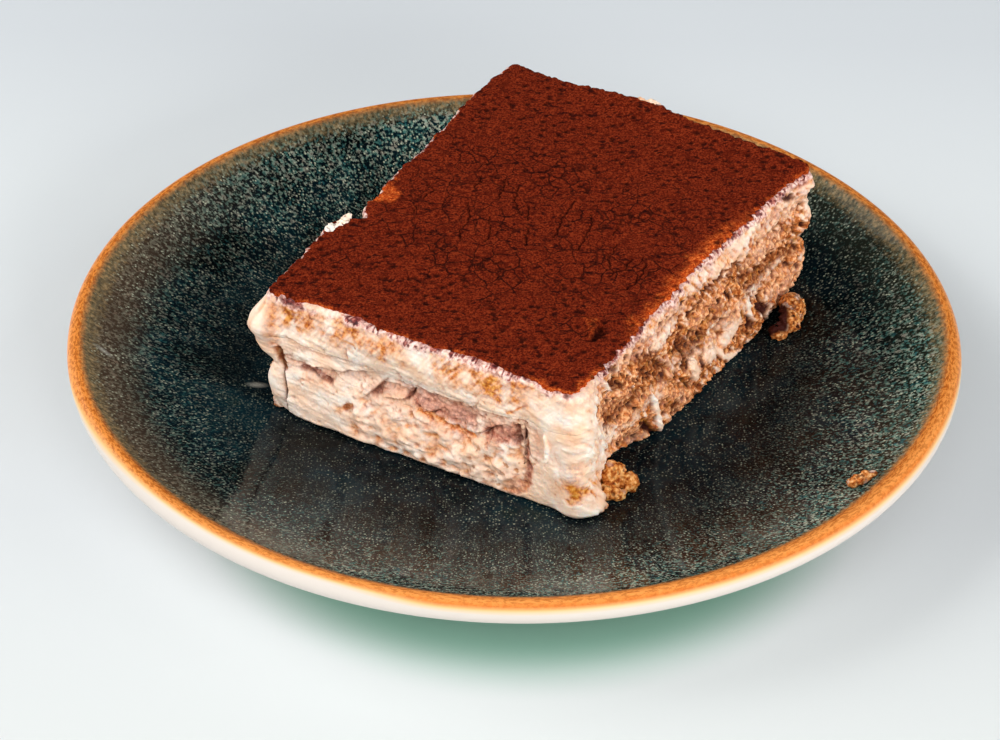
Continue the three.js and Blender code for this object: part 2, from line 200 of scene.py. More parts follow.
soft_light("ceiling", (0.0, -1.2, 1.8), (2.5, 1.5), 20.0, "FFFEFC")
soft_light("left_window", (-1.8, -0.6, 1.0), (2.0, 1.6), 27.5, "FFFCF6")
soft_light("left_back_window", (-1.8, 0.7, 1.2), (1.6, 1.6), 28.0, "FFFCF6")
soft_light("front_right", (0.95, -1.7, 0.6), (1.1, 0.6), 27.0, "FFFCF6")
soft_light("right_window", (1.8, -0.5, 1.0), (2.0, 1.6), 18.0, "FFFCF6")

world = bpy.data.worlds.new("dim_room")
world.use_nodes = True
background = world.node_tree.nodes["Background"]
background.inputs["Color"].default_value = linear("DCE4EA")
background.inputs["Strength"].default_value = 0.05
scene.world = world
scene.view_settings.view_transform = "Standard"
print("lights:", [lamp.name for lamp in bpy.data.lights])

# %% [markdown]
# ## The plate
# A coupe plate is thrown or pressed as a body of revolution, so its shape is one profile turned
# round an axis. In Geometry Nodes that is a circle swept with the profile by Curve to Mesh. The
# profile runs from the middle of the floor, up the wall, round the rolled lip and back under the
# plate to the foot, so the sweep closes on itself at both ends.

# %% Profile of the plate
_, plate_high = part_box("plate")
RIM_RADIUS = plate_high.x / MM
RIM_HEIGHT = plate_high.z / MM
FLOOR_HEIGHT = 4.8
LEVEL_RADIUS = 45.0
WALL_RADIUS = 97.4
WALL_HEIGHT = 19.6
LIP_CENTRE = np.array([98.9, 17.6])
LIP_TURN = (125, -50)
LIP_RADII = np.array([RIM_RADIUS, RIM_HEIGHT]) - LIP_CENTRE
FOOT_RADII = (62.0, 58.0)
FOOT_RECESS = 1.4
FOOT_TOP = np.array([63.5, 2.2])
UNDERSIDE_PULL = np.array([92.0, 9.6])


def plate_floor(radius):
    """Height of the glazed floor in mm at a distance from the plate's middle."""
    out = np.maximum(radius - LEVEL_RADIUS, 0) / (WALL_RADIUS - LEVEL_RADIUS)
    return FLOOR_HEIGHT + (WALL_HEIGHT - FLOOR_HEIGHT) * out ** 2


def plate_profile():
    """Radius and height of points from the middle of the floor round to the middle underneath."""
    level = np.linspace(0, LEVEL_RADIUS, 12)
    radii = np.concatenate([level, np.linspace(LEVEL_RADIUS, WALL_RADIUS, 40)[1:-1]])
    wall = np.column_stack([radii, plate_floor(radii)])
    angles = np.radians(np.linspace(*LIP_TURN, 26))
    lip = LIP_CENTRE + LIP_RADII * np.column_stack([np.cos(angles), np.sin(angles)])
    t = np.linspace(0, 1, 22)[1:, None]
    under = lip[-1] * (1 - t) ** 2 + 2 * UNDERSIDE_PULL * t * (1 - t) + FOOT_TOP * t ** 2
    foot = np.array([
        [FOOT_RADII[0], 0.5], [FOOT_RADII[0] - 0.4, 0], [FOOT_RADII[1] + 0.4, 0],
        [FOOT_RADII[1], 0.5], [FOOT_RADII[1] - 0.8, FOOT_RECESS], [0, FOOT_RECESS],
    ])
    return np.concatenate([wall, lip, under, foot])


profile = plate_profile()
print("plate profile has", len(profile), "points; rim radius", round(RIM_RADIUS, 1), "mm")

# %% [markdown]
# ## The plate's glaze
# Reactive glaze is sprayed on dark and breaks as it melts: it pools black-green with pale
# crystals on the floor, is drawn into radial streaks on the wall, and runs thin at the lip, where
# the iron in the clay burns through orange. Voronoi cells make the crystals. On the floor they
# are laid out flat; on the wall they are laid out round the plate and stretched along its
# radius. A band along the radius turns dark glaze into brown, orange and the white underside.

# %% Reactive glaze: how the crystals are laid out
FLECK_MM = 0.58
FLECK_LENGTH_MM = 0.74
FLECK_RADIUS_MM = 80.0

glaze, tree, shader = new_material("reactive stoneware glaze", {"IOR": 1.42, "Specular IOR Level": 0.12})
position = add_node(tree, "ShaderNodeTexCoord", output="Object")
flat = add_node(tree, "ShaderNodeVectorMath", {0: position, 1: (1, 1, 0)}, operation="MULTIPLY")
radius = add_node(tree, "ShaderNodeVectorMath", {0: flat}, "Value", operation="LENGTH")
around = add_node(tree, "ShaderNodeVectorMath", {0: flat}, operation="NORMALIZE")
height = add_node(tree, "ShaderNodeSeparateXYZ", {0: position}, "Z")
ring = add_node(tree, "ShaderNodeVectorMath", {
    0: around, "Scale": FLECK_RADIUS_MM / FLECK_MM,
}, operation="SCALE")
rise = add_node(tree, "ShaderNodeMath", {0: radius, 1: per_mm(FLECK_LENGTH_MM)}, operation="MULTIPLY")
lengthwise = add_node(tree, "ShaderNodeCombineXYZ", {"Z": rise})
wall_layout = add_node(tree, "ShaderNodeVectorMath", {0: ring, 1: lengthwise})
floor_layout = add_node(tree, "ShaderNodeVectorMath", {0: flat, "Scale": per_mm(FLECK_MM)}, operation="SCALE")
on_wall = add_node(tree, "ShaderNodeMapRange", {
    "Value": radius, "From Min": 52 * MM, "From Max": 74 * MM,
}, **SMOOTH)


def towards(direction, low, high):
    """0 to 1 as the plate's side turns towards a direction in plan."""
    along = add_node(tree, "ShaderNodeVectorMath", {
        0: around, 1: direction,
    }, "Value", operation="DOT_PRODUCT")
    return add_node(tree, "ShaderNodeMapRange", {
        "Value": along, "From Min": low, "From Max": high,
    }, **SMOOTH)


front_side = towards((0.15, -1.0, 0.0), 0.1, 0.75)
shaded_side = towards((0.77, 0.64, 0.0), 0.8, 0.98)
left_side = towards((-1.0, -0.2, 0.0), 0.45, 0.98)
right_side = towards((1.0, 0.15, 0.0), 0.4, 0.95)
print("flecks are", FLECK_MM, "mm wide and", FLECK_LENGTH_MM, "mm long on the wall")

# %% Reactive glaze: dark pools and pale flecks
thinnest = add_node(tree, "ShaderNodeMapRange", {
    "Value": radius, "From Min": 56 * MM, "From Max": 92 * MM, "To Min": 0.575, "To Max": 0.47,
})
# painted shade: fewer matt flecks on the shaded side at the back right
thinnest = add_node(tree, "ShaderNodeMath", {0: shaded_side, 1: 0.055, 2: thinnest}, operation="MULTIPLY_ADD")
thickest = add_node(tree, "ShaderNodeMath", {0: thinnest, 1: 0.11})
TINT_PLACES = (0.32, 0.42, 0.5, 0.58, 0.68)


def flecks(layout, seed, tints_from):
    """Coverage of the matt flecks and of the bright ones on one layout, and the flecks' colour."""
    moved = add_node(tree, "ShaderNodeVectorMath", {0: layout, 1: (seed, 0, 0)})
    grain = add_node(tree, "ShaderNodeTexNoise", {
        "Vector": moved, "Scale": 0.85, "Detail": 3.0, "Roughness": 0.6,
    }, "Fac")
    matt = add_node(tree, "ShaderNodeMapRange", {"Value": grain, "From Min": thinnest, "From Max": thickest})
    scatter = {"Vector": moved, "Scale": 0.9}
    gap = add_node(tree, "ShaderNodeTexVoronoi", scatter, "Distance")
    key = add_node(tree, "ShaderNodeTexVoronoi", scatter, "Color")
    red = add_node(tree, "ShaderNodeSeparateColor", {0: key}, "Red")
    rare = add_node(tree, "ShaderNodeMath", {0: red, 1: 2.0}, operation="POWER")
    dot = add_node(tree, "ShaderNodeMapRange", {
        "Value": gap, "From Min": 0.40, "From Max": 0.16,
    }, **SMOOTH)
    bright = add_node(tree, "ShaderNodeMath", {0: dot, 1: rare}, operation="MULTIPLY")
    tints = add_node(tree, "ShaderNodeTexNoise", {"Vector": moved, "Scale": 0.4, "Detail": 2.0}, "Color")
    hue = add_node(tree, "ShaderNodeSeparateColor", {0: tints}, "Green")
    tone = add_node(tree, "ShaderNodeValToRGB", {"Fac": hue}, stops=list(zip(TINT_PLACES, tints_from)))
    return matt, bright, tone


FLOOR_TINTS = ("14404C", "2C5C5C", "52746C", "6A7C70", "62605A")
WALL_TINTS = ("286068", "4C8078", "84A698", "A4B0A2", "9A9488")
floor_matt, floor_bright, floor_tone = flecks(floor_layout, 0.0, FLOOR_TINTS)
wall_matt, wall_bright, wall_tone = flecks(wall_layout, 37.0, WALL_TINTS)
matt = add_node(tree, "ShaderNodeMix", {0: on_wall, 2: floor_matt, 3: wall_matt})
bright = add_node(tree, "ShaderNodeMix", {0: on_wall, 2: floor_bright, 3: wall_bright})
tone = add_node(tree, "ShaderNodeMix", {0: on_wall, MIX_A: floor_tone, MIX_B: wall_tone}, **COLOUR_MIX)
print("glaze: flecks laid in", len(TINT_PLACES), "tints")

# %% Reactive glaze: browner towards the rim, and flecks laid over the pools
clouds = add_node(tree, "ShaderNodeTexNoise", {
    "Vector": position, "Scale": per_mm(15), "Detail": 4.0, "Roughness": 0.6,
}, "Fac")
pooled = add_node(tree, "ShaderNodeValToRGB", {"Fac": clouds}, stops=[
    (0.35, "03080A"), (0.50, "061218"), (0.62, "091F27"), (0.75, "12201F"),
])
near_rim = add_node(tree, "ShaderNodeMapRange", {
    "Value": radius, "From Min": 81 * MM, "From Max": 93 * MM,
}, **SMOOTH)
left_wall = add_node(tree, "ShaderNodeMath", {0: left_side, 1: near_rim}, operation="MULTIPLY")
browned = add_node(tree, "ShaderNodeMix", {0: left_wall, MIX_A: pooled, MIX_B: "40342A"}, **COLOUR_MIX)
lifted = add_node(tree, "ShaderNodeMath", {0: right_side, 1: near_rim}, operation="MULTIPLY")
browned = add_node(tree, "ShaderNodeMix", {0: lifted, MIX_A: browned, MIX_B: "1C2019"}, **COLOUR_MIX)
rusty = add_node(tree, "ShaderNodeMath", {0: left_wall, 1: 0.65}, operation="MULTIPLY")
tone = add_node(tree, "ShaderNodeMix", {0: rusty, MIX_A: tone, MIX_B: "9C8068"}, **COLOUR_MIX)
spread = add_node(tree, "ShaderNodeMapRange", {
    "Value": radius, "From Min": 58 * MM, "From Max": 92 * MM, "To Min": 0.30, "To Max": 0.85,
})
clumps = add_node(tree, "ShaderNodeMapRange", {
    "Value": clouds, "From Min": 0.3, "From Max": 0.7, "To Min": 0.45, "To Max": 1.25,
})
density = add_node(tree, "ShaderNodeMath", {0: spread, 1: clumps}, operation="MULTIPLY")
# fewer flecks on the left, and fewer on the shaded side as painted shade
for side, share in (left_side, 0.5), (shaded_side, 0.38):
    sparse = add_node(tree, "ShaderNodeMapRange", {"Value": side, "To Min": 1.0, "To Max": share})
    density = add_node(tree, "ShaderNodeMath", {0: density, 1: sparse}, operation="MULTIPLY")
veil = add_node(tree, "ShaderNodeMath", {0: matt, 1: density}, operation="MULTIPLY")
veiled = add_node(tree, "ShaderNodeMix", {0: veil, MIX_A: browned, MIX_B: tone}, **COLOUR_MIX)
glint = add_node(tree, "ShaderNodeMapRange", {
    "Value": radius, "From Min": 50 * MM, "From Max": 88 * MM, "To Min": 0.5, "To Max": 1.4,
})
glint = add_node(tree, "ShaderNodeMath", {0: glint, 1: clumps}, operation="MULTIPLY")
# fewer bright flecks on the left, and fewer on the shaded side as painted shade
for side in left_side, shaded_side:
    fewer = add_node(tree, "ShaderNodeMapRange", {"Value": side, "To Min": 1.0, "To Max": 0.6})
    glint = add_node(tree, "ShaderNodeMath", {0: glint, 1: fewer}, operation="MULTIPLY")
sparkle = add_node(tree, "ShaderNodeMath", {0: bright, 1: glint}, operation="MULTIPLY")
speckled = add_node(tree, "ShaderNodeMix", {0: sparkle, MIX_A: veiled, MIX_B: "BEC6B0"}, **COLOUR_MIX)
print("glaze: dark pools, matt veil and bright flecks")

# %% Reactive glaze: the lip, where it runs thin
ragged = add_node(tree, "ShaderNodeTexNoise", {
    "Vector": wall_layout, "Scale": 0.7, "Detail": 4.0, "Roughness": 0.65,
}, "Fac")
shift = add_node(tree, "ShaderNodeMapRange", {
    "Value": ragged, "From Min": 0.3, "From Max": 0.7, "To Min": -1.2 * MM, "To Max": 1.2 * MM,
})
edge = add_node(tree, "ShaderNodeMath", {0: radius, 1: shift})
starts = add_node(tree, "ShaderNodeMapRange", {"Value": front_side, "To Min": 93.6 * MM, "To Max": 94.8 * MM})
ends = add_node(tree, "ShaderNodeMapRange", {"Value": front_side, "To Min": 98.4 * MM, "To Max": 97.4 * MM})
thinning = add_node(tree, "ShaderNodeMapRange", {"Value": edge, "From Min": starts, "From Max": ends})
golden = add_node(tree, "ShaderNodeValToRGB", {"Fac": ragged}, stops=[
    (0.35, "524C38"), (0.5, "7A6C4E"), (0.65, "A68C64"),
])
thinned = add_node(tree, "ShaderNodeMix", {0: thinning, MIX_A: speckled, MIX_B: golden}, **COLOUR_MIX)
back_shift = add_node(tree, "ShaderNodeMapRange", {"Value": front_side, "To Min": -1.7 * MM, "To Max": 0.0})
soft_shift = add_node(tree, "ShaderNodeMath", {0: shift, 1: 0.35}, operation="MULTIPLY")
lip_edge = add_node(tree, "ShaderNodeMath", {0: radius, 1: back_shift})
lip_edge = add_node(tree, "ShaderNodeMath", {0: lip_edge, 1: soft_shift})
rim_layout = add_node(tree, "ShaderNodeVectorMath", {
    0: wall_layout, 1: (0.5, 0.5, 1.5),
}, operation="MULTIPLY")
band = add_node(tree, "ShaderNodeMapRange", {"Value": lip_edge, "From Min": 95 * MM, "From Max": 103 * MM})
lip_colour = add_node(tree, "ShaderNodeValToRGB", {"Fac": band}, stops=[
    (0.0, "A87A4C"), (0.17, "D08A4A"), (0.30, "E08A3E"), (0.55, "EC9A50"), (0.74, "D6722A"), (0.9, "B45A18"),
])
onto_lip = add_node(tree, "ShaderNodeMapRange", {
    "Value": lip_edge, "From Min": 95.4 * MM, "From Max": 97.0 * MM,
})
freckles = add_node(tree, "ShaderNodeTexNoise", {
    "Vector": rim_layout, "Scale": 1.0, "Detail": 3.0, "Roughness": 0.7,
}, "Fac")
freckled = add_node(tree, "ShaderNodeMapRange", {"Value": freckles, "From Min": 0.54, "From Max": 0.43})
inner = add_node(tree, "ShaderNodeMapRange", {
    "Value": band, "From Min": 0.3, "From Max": 0.7, "To Min": 0.85, "To Max": 0.3,
})
freckled = add_node(tree, "ShaderNodeMath", {0: freckled, 1: inner}, operation="MULTIPLY")
lip = add_node(tree, "ShaderNodeMix", {0: freckled, MIX_A: lip_colour, MIX_B: "A04C10"}, **COLOUR_MIX)
lipped = add_node(tree, "ShaderNodeMix", {0: onto_lip, MIX_A: thinned, MIX_B: lip}, **COLOUR_MIX)
print("glaze: lip laid, with", len(tree.nodes), "nodes so far")

# %% Reactive glaze: where it ends, above the white underside
near_side = towards((0.2, -1.0, 0.0), -0.1, 0.6)
# painted highlight: on the side that faces the left window, the pale and the white start 1.3 mm higher up the
# lip, for that window's highlight
window_highlight_side = towards((-0.72, -0.69, 0.0), 0.78, 0.93)
lift = add_node(tree, "ShaderNodeMapRange", {"Value": window_highlight_side, "To Max": 1.3 * MM})
fade = []
for far, near in (17.9, 19.8), (15.4, 18.1):
    level = add_node(tree, "ShaderNodeMapRange", {
        "Value": near_side, "To Min": far * MM, "To Max": near * MM,
    })
    fade.append(add_node(tree, "ShaderNodeMath", {0: level, 1: lift}))
fading = add_node(tree, "ShaderNodeMapRange", {"Value": height, "From Min": fade[0], "From Max": fade[1]})
outward = add_node(tree, "ShaderNodeMapRange", {
    "Value": radius, "From Min": 99.6 * MM, "From Max": 100.6 * MM,
})
facing = add_node(tree, "ShaderNodeNewGeometry", output="Normal")
upward = add_node(tree, "ShaderNodeSeparateXYZ", {0: facing}, "Z")
under = add_node(tree, "ShaderNodeMapRange", {"Value": upward, "From Min": 0.1, "From Max": -0.1})
outside = add_node(tree, "ShaderNodeMath", {0: outward, 1: under}, operation="MAXIMUM")
bare = add_node(tree, "ShaderNodeMath", {0: fading, 1: outside}, operation="MULTIPLY")
paling = add_node(tree, "ShaderNodeMapRange", {"Value": bare, "From Max": 0.45})
whitening = add_node(tree, "ShaderNodeMapRange", {"Value": bare, "From Min": 0.35, "From Max": 0.95})
paled = add_node(tree, "ShaderNodeMix", {0: paling, MIX_A: lipped, MIX_B: "E8BC80"}, **COLOUR_MIX)
whole = add_node(tree, "ShaderNodeMix", {0: whitening, MIX_A: paled, MIX_B: "D2CAC4"}, **COLOUR_MIX)
print("glaze: underside left white")

# %% Reactive glaze: two pale grey streaks on the left of the plate, the gloss and the orange peel
# place, turn in degrees, half length and half width, with the sizes in metres
PALE_STREAKS = [((-0.0586, -0.0060, 0), 8, 0.0022, 0.0010), ((-0.0928, -0.0096, 0), -28, 0.0024, 0.0007)]
for place, turn, long, wide in PALE_STREAKS:
    from_place = add_node(tree, "ShaderNodeVectorMath", {0: position, 1: place}, operation="SUBTRACT")
    c, s = np.cos(np.radians(turn)), np.sin(np.radians(turn))
    lengthways = add_node(tree, "ShaderNodeVectorMath", {
        0: from_place, 1: (c / long, s / long, 0),
    }, "Value", operation="DOT_PRODUCT")
    sideways = add_node(tree, "ShaderNodeVectorMath", {
        0: from_place, 1: (-s / wide, c / wide, 0),
    }, "Value", operation="DOT_PRODUCT")
    both = add_node(tree, "ShaderNodeCombineXYZ", {"X": lengthways, "Y": sideways})
    away = add_node(tree, "ShaderNodeVectorMath", {0: both}, "Value", operation="LENGTH")
    pale_streak = add_node(tree, "ShaderNodeMapRange", {
        "Value": away, "From Min": 1.3, "From Max": 0.2, "To Max": 1.2,
    })
    pale_streak = add_node(tree, "ShaderNodeMath", {0: pale_streak, 1: ragged}, operation="MULTIPLY")
    whole = add_node(tree, "ShaderNodeMix", {0: pale_streak, MIX_A: whole, MIX_B: "A8A8A0"}, **COLOUR_MIX)
tree.links.new(whole, shader.inputs["Base Color"])
gloss = add_node(tree, "ShaderNodeMapRange", {"Value": matt, "To Min": 0.09, "To Max": 0.26})
gloss = add_node(tree, "ShaderNodeMix", {0: onto_lip, 2: gloss, 3: 0.3})
tree.links.new(gloss, shader.inputs["Roughness"])
peel = add_node(tree, "ShaderNodeTexNoise", {"Vector": position, "Scale": per_mm(6), "Detail": 2.0}, "Fac")
bump = add_node(tree, "ShaderNodeBump", {"Height": peel, "Strength": 0.45, "Distance": 0.22 * MM})
tree.links.new(bump, shader.inputs["Normal"])
print("glaze: finished with", len(tree.nodes), "nodes")

# %% Sweep the plate with Geometry Nodes
PATH_RADIUS_MM = 50.0
PLATE_SEGMENTS = 384

lathe = bpy.data.node_groups.new("turn_profile", "GeometryNodeTree")
for name, way, kind in (
    ("Profile", "INPUT", "Geometry"), ("Path radius", "INPUT", "Float"),
    ("Segments", "INPUT", "Int"), ("Mesh", "OUTPUT", "Geometry"),
):
    lathe.interface.new_socket(name, in_out=way, socket_type="NodeSocket" + kind)
entry = lathe.nodes.new("NodeGroupInput")
circle = add_node(lathe, "GeometryNodeCurvePrimitiveCircle", {
    "Radius": entry.outputs["Path radius"], "Resolution": entry.outputs["Segments"],
})
section = add_node(lathe, "GeometryNodeMeshToCurve", {0: entry.outputs["Profile"]})
swept = add_node(lathe, "GeometryNodeCurveToMesh", {"Curve": circle, "Profile Curve": section})
merged = add_node(lathe, "GeometryNodeMergeByDistance", {"Geometry": swept, "Distance": 0.02 * MM})
smooth = add_node(lathe, "GeometryNodeSetShadeSmooth", {"Geometry": merged})
real = add_node(lathe, "GeometryNodeRealizeInstances", {"Geometry": smooth})
glazed = add_node(lathe, "GeometryNodeSetMaterial", {"Geometry": real, "Material": glaze})
lathe.links.new(glazed, lathe.nodes.new("NodeGroupOutput").inputs[0])


def bake_nodes(name, host, tree, values, material):
    """Runs a node tree on a host mesh and keeps its result as a plain mesh object."""
    carrier = bpy.data.objects.new(name + "_host", host)
    scene.collection.objects.link(carrier)
    modifier = carrier.modifiers.new("nodes", "NODES")
    modifier.node_group = tree
    sockets = {item.name: item.identifier for item in tree.interface.items_tree if item.in_out == "INPUT"}
    for socket, value in values.items():
        modifier[sockets[socket]] = value
    evaluated = carrier.evaluated_get(bpy.context.evaluated_depsgraph_get())
    mesh = bpy.data.meshes.new_from_object(evaluated)
    bpy.data.objects.remove(carrier)
    mesh.name = name
    if not mesh.materials:
        mesh.materials.append(material)
    piece = bpy.data.objects.new(name, mesh)
    scene.collection.objects.link(piece)
    print(name, "has", len(mesh.polygons), "faces")
    return piece


profile_mesh = bpy.data.meshes.new("plate_profile")
profile_mesh.from_pydata(
    [((r - PATH_RADIUS_MM) * MM, -z * MM, 0) for r, z in profile],
    [(i, i + 1) for i in range(len(profile) - 1)], [],
)
plate = bake_nodes("stoneware_plate", profile_mesh, lathe, {
    "Path radius": PATH_RADIUS_MM * MM, "Segments": PLATE_SEGMENTS,
}, glaze)
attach(plate, "root")
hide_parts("plate")

# %% [markdown]
# ## Outline of the slice
# The slice is cut square but by hand, and its underside sags with the plate while its top stays
# flat. Places on it are given as a cook would point at them: how far along which cut side, and
# how high above the underside. These functions turn such places into millimetres in the frame.

# %% Outline and heights
CORNERS = np.array([[-55.1, -14.7], [13.5, -52.1], [67.0, 35.5], [-1.7, 79.1]])
SIDES = ("front", "right", "back", "rear")
CORNER_ROUNDING = 2.4
SLICE_HEIGHT = 33.0
REST_GAP = 0.3
TOP_SLOPE = np.array([0.0076, 0.0284])
RUNS = np.roll(CORNERS, -1, axis=0) - CORNERS
LENGTHS = np.linalg.norm(RUNS, axis=1)
DIRECTIONS = RUNS / LENGTHS[:, None]
STARTS = np.concatenate([[0], np.cumsum(LENGTHS)[:-1]])
PERIMETER = LENGTHS.sum()
MIDDLE = CORNERS.mean(axis=0)


def place_on(side, along):
    """Distance round the slice of a place on one of its sides."""
    return STARTS[SIDES.index(side)] + along


def outline(distance):
    """Points of the top outline and their outward normals, at distances round the slice."""
    distance = np.mod(distance, PERIMETER)
    side = np.searchsorted(STARTS, distance, side="right") - 1
    along = distance - STARTS[side]
    left = LENGTHS[side] - along
    point = CORNERS[side] + DIRECTIONS[side] * along[..., None]
    tangent = DIRECTIONS[side].copy()
    starting = along < CORNER_ROUNDING
    turning = starting | (left < CORNER_ROUNDING)
    corner = np.where(starting, side, (side + 1) % 4)
    arriving, leaving = DIRECTIONS[(corner + 3) % 4], DIRECTIONS[corner]
    t = (0.5 + np.where(starting, along, -left) / (2 * CORNER_ROUNDING))[..., None]
    rounded = CORNERS[corner] - CORNER_ROUNDING * (1 - t) ** 2 * arriving + CORNER_ROUNDING * t ** 2 * leaving
    point = np.where(turning[..., None], rounded, point)
    tangent = np.where(turning[..., None], arriving * (1 - t) + leaving * t, tangent)
    tangent /= np.linalg.norm(tangent, axis=-1, keepdims=True)
    return point, np.stack([tangent[..., 1], -tangent[..., 0]], axis=-1)


def in_slice(plan, height):
    """Points in mm of places given in plan and by their height above the slice's underside."""
    x, y = plan[..., 0], plan[..., 1]
    under = plate_floor(np.hypot(x, y)) - FLOOR_HEIGHT
    level = TOP_SLOPE[0] * (x - CORNERS[1, 0]) + TOP_SLOPE[1] * (y - CORNERS[1, 1])
    share = np.clip(height / SLICE_HEIGHT, 0, 1)
    return np.stack([x, y, FLOOR_HEIGHT + REST_GAP + height + under * (1 - share) + level * share], axis=-1)


def smoothstep(value):
    """0 below 0, 1 above 1 and a smooth rise between them."""
    value = np.clip(value, 0, 1)
    return value * value * (3 - 2 * value)


print("slice is", LENGTHS.round(1), "mm round its sides")

# %% Heights at which one layer ends and the next begins
def height_curve(stations, distance):
    """Smooth closed curve of heights through (side, along, height) stations."""
    at = np.array([place_on(side, along) for side, along, _ in stations])
    level = np.array([height for _, _, height in stations])
    following = np.searchsorted(at, distance, side="right") % len(at)
    before = (following - 1) % len(at)
    span = np.mod(at[following] - at[before], PERIMETER)
    along = np.mod(distance - at[before], PERIMETER)
    return level[before] + (level[following] - level[before]) * smoothstep(along / span)


LOWER_SPONGE_TOP = [
    ("front", 4, 14), ("front", 26, 14.5), ("front", 52, 13), ("front", 70, 13),
    ("right", 20, 10), ("right", 44, 12), ("right", 66, 10), ("right", 92, 12.5),
    ("back", 12, 13), ("back", 44, 11.5), ("back", 74, 13),
    ("rear", 30, 12), ("rear", 62, 14), ("rear", 92, 12.5),
]
MIDDLE_CREAM_TOP = [
    ("front", 4, 16), ("front", 26, 16.2), ("front", 52, 15), ("front", 70, 15),
    ("right", 20, 13), ("right", 44, 16.5), ("right", 66, 15.5), ("right", 92, 15),
    ("back", 12, 15.5), ("back", 44, 14.5), ("back", 74, 16),
    ("rear", 30, 15), ("rear", 62, 16.5), ("rear", 92, 15),
]
UPPER_SPONGE_TOP = [
    ("front", 4, 21.5), ("front", 26, 21), ("front", 52, 21.5), ("front", 70, 22),
    ("right", 16, 27.5), ("right", 36, 24), ("right", 52, 28), ("right", 74, 25.5), ("right", 96, 24),
    ("back", 12, 24), ("back", 44, 26.5), ("back", 74, 25),
    ("rear", 30, 25), ("rear", 62, 23), ("rear", 92, 24.5),
]
cocoa_low, cocoa_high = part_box("cocoa")
print("CAD cocoa spans", [round((high - low) / MM, 1) for low, high in zip(cocoa_low, cocoa_high)], "mm")

# %% [markdown]
# ## Noise for crumb and cream
# Torn sponge is made of rounded cells and broken bubbles, and spread cream of soft waves. Both
# come from two classic noises, written here with arrays so that they can shape hundreds of
# thousands of points at once: gradient noise for waves, and cellular noise for bubbles.

# %% Gradient noise and cellular noise
def lattice_random(cell, seed):
    """A pseudo-random number from 0 to 1 for every cell of a lattice."""
    cell = cell.astype(np.int64)
    mixed = cell[..., 0] * 73856093 ^ cell[..., 1] * 19349663 ^ cell[..., 2] * 83492791 ^ seed * 2654435761
    mixed = (mixed ^ (mixed >> 15)) * 2246822519 & 0xFFFFFFFF
    mixed = (mixed ^ (mixed >> 13)) * 3266489917 & 0xFFFFFFFF
    return (mixed >> 8) / float(1 << 24)


def waves(points, size_mm, seed, octaves=1):
    """Gradient noise from about -1 to 1, with finer octaves added at half the size and strength."""
    total, strength = 0.0, 1.0
    for octave in range(octaves):
        scaled = points / size_mm * 2 ** octave + 17.3 * octave
        cell = np.floor(scaled)
        inside = scaled - cell
        fade = inside ** 3 * (inside * (inside * 6 - 15) + 10)
        value = 0.0
        for corner in itertools.product((0, 1), repeat=3):
            node = cell + corner
            weight = np.prod(np.where(corner, fade, 1 - fade), axis=-1)
            slope = sum(
                (2 * lattice_random(node, seed + 31 * octave + axis) - 1) * (inside[..., axis] - corner[axis])
                for axis in range(3)
            )
            value = value + weight * slope
        total = total + 1.6 * strength * value
        strength *= 0.5
    return total


def bubbles(points, size_mm, seed):
    """Cellular noise: distance to the nearest cell's middle, to the next one, and a key per cell."""
    scaled = points / size_mm
    cell = np.floor(scaled)
    nearest = np.full(points.shape[:-1], 9.0)
    second = nearest.copy()
    key = np.zeros_like(nearest)
    for step in itertools.product((-1, 0, 1), repeat=3):
        node = cell + step
        away = sum(
            (node[..., axis] + lattice_random(node, seed + axis) - scaled[..., axis]) ** 2
            for axis in range(3)
        )
        closer = away < nearest
        second = np.where(closer, nearest, np.minimum(second, away))
        nearest = np.where(closer, away, nearest)
        key = np.where(closer, lattice_random(node, seed + 9), key)
    return np.sqrt(nearest), np.sqrt(second), key


# %% [markdown]
# ## A map of the cut faces
# The four cut faces are unrolled into one map: distance round the slice across, height up. Each
# map holds one quantity: how far the face stands out, and how much cream, coffee, stain or cocoa
# is there. Broad forms come first, then the crumb and the cream's own relief, then single
# strokes placed where the knife dragged cream over the sponge or opened a hollow. All
# layers are cut from the same map, so a smear runs on from one layer to the next.

# %% Start the map
FINE_STEP, COARSE_STEP, ROW_STEP = 0.2, 0.36, 0.2
near_cuts = STARTS[2]
columns = np.concatenate([np.arange(0, near_cuts, FINE_STEP), np.arange(near_cuts, PERIMETER, COARSE_STEP)])
rows = np.arange(-0.4, SLICE_HEIGHT + 0.6, ROW_STEP)
ROUND, UP = np.meshgrid(columns, rows)
outline_points, outline_normals = outline(columns)
SPOTS = np.stack([
    np.broadcast_to(outline_points[:, 0], ROUND.shape),
    np.broadcast_to(outline_points[:, 1], ROUND.shape), UP,
], axis=-1)
# Besides real colour, some of these masks carry painted light: the dark of holes, creases, recesses and gaps
# is painted shade, and paler ridges and lips are painted highlight.
MASKS = ("cream", "soak", "stain", "wet", "pit", "dust")
face = {name: np.zeros(ROUND.shape) for name in ("out",) + MASKS}
RAGGED = waves(SPOTS, 2.2, 3, 3)
RAGGED_FINE = waves(SPOTS, 0.8, 4, 2)
lower_top = height_curve(LOWER_SPONGE_TOP, columns)
middle_top = height_curve(MIDDLE_CREAM_TOP, columns)
upper_top = height_curve(UPPER_SPONGE_TOP, columns)
print("map of the cut faces:", ROUND.shape[1], "by", ROUND.shape[0], "places")

# %% Swellings of the map, and places on it as the camera sees them
def gaps_round(side, along):
    """Signed shortest way round the slice from a place to every column of the map."""
    return np.mod(columns - place_on(side, along) + PERIMETER / 2, PERIMETER) - PERIMETER / 2


def raise_mask(name, value):
    """Raises one of the map's masks to a value wherever it is lower."""
    face[name] = np.maximum(face[name], value)


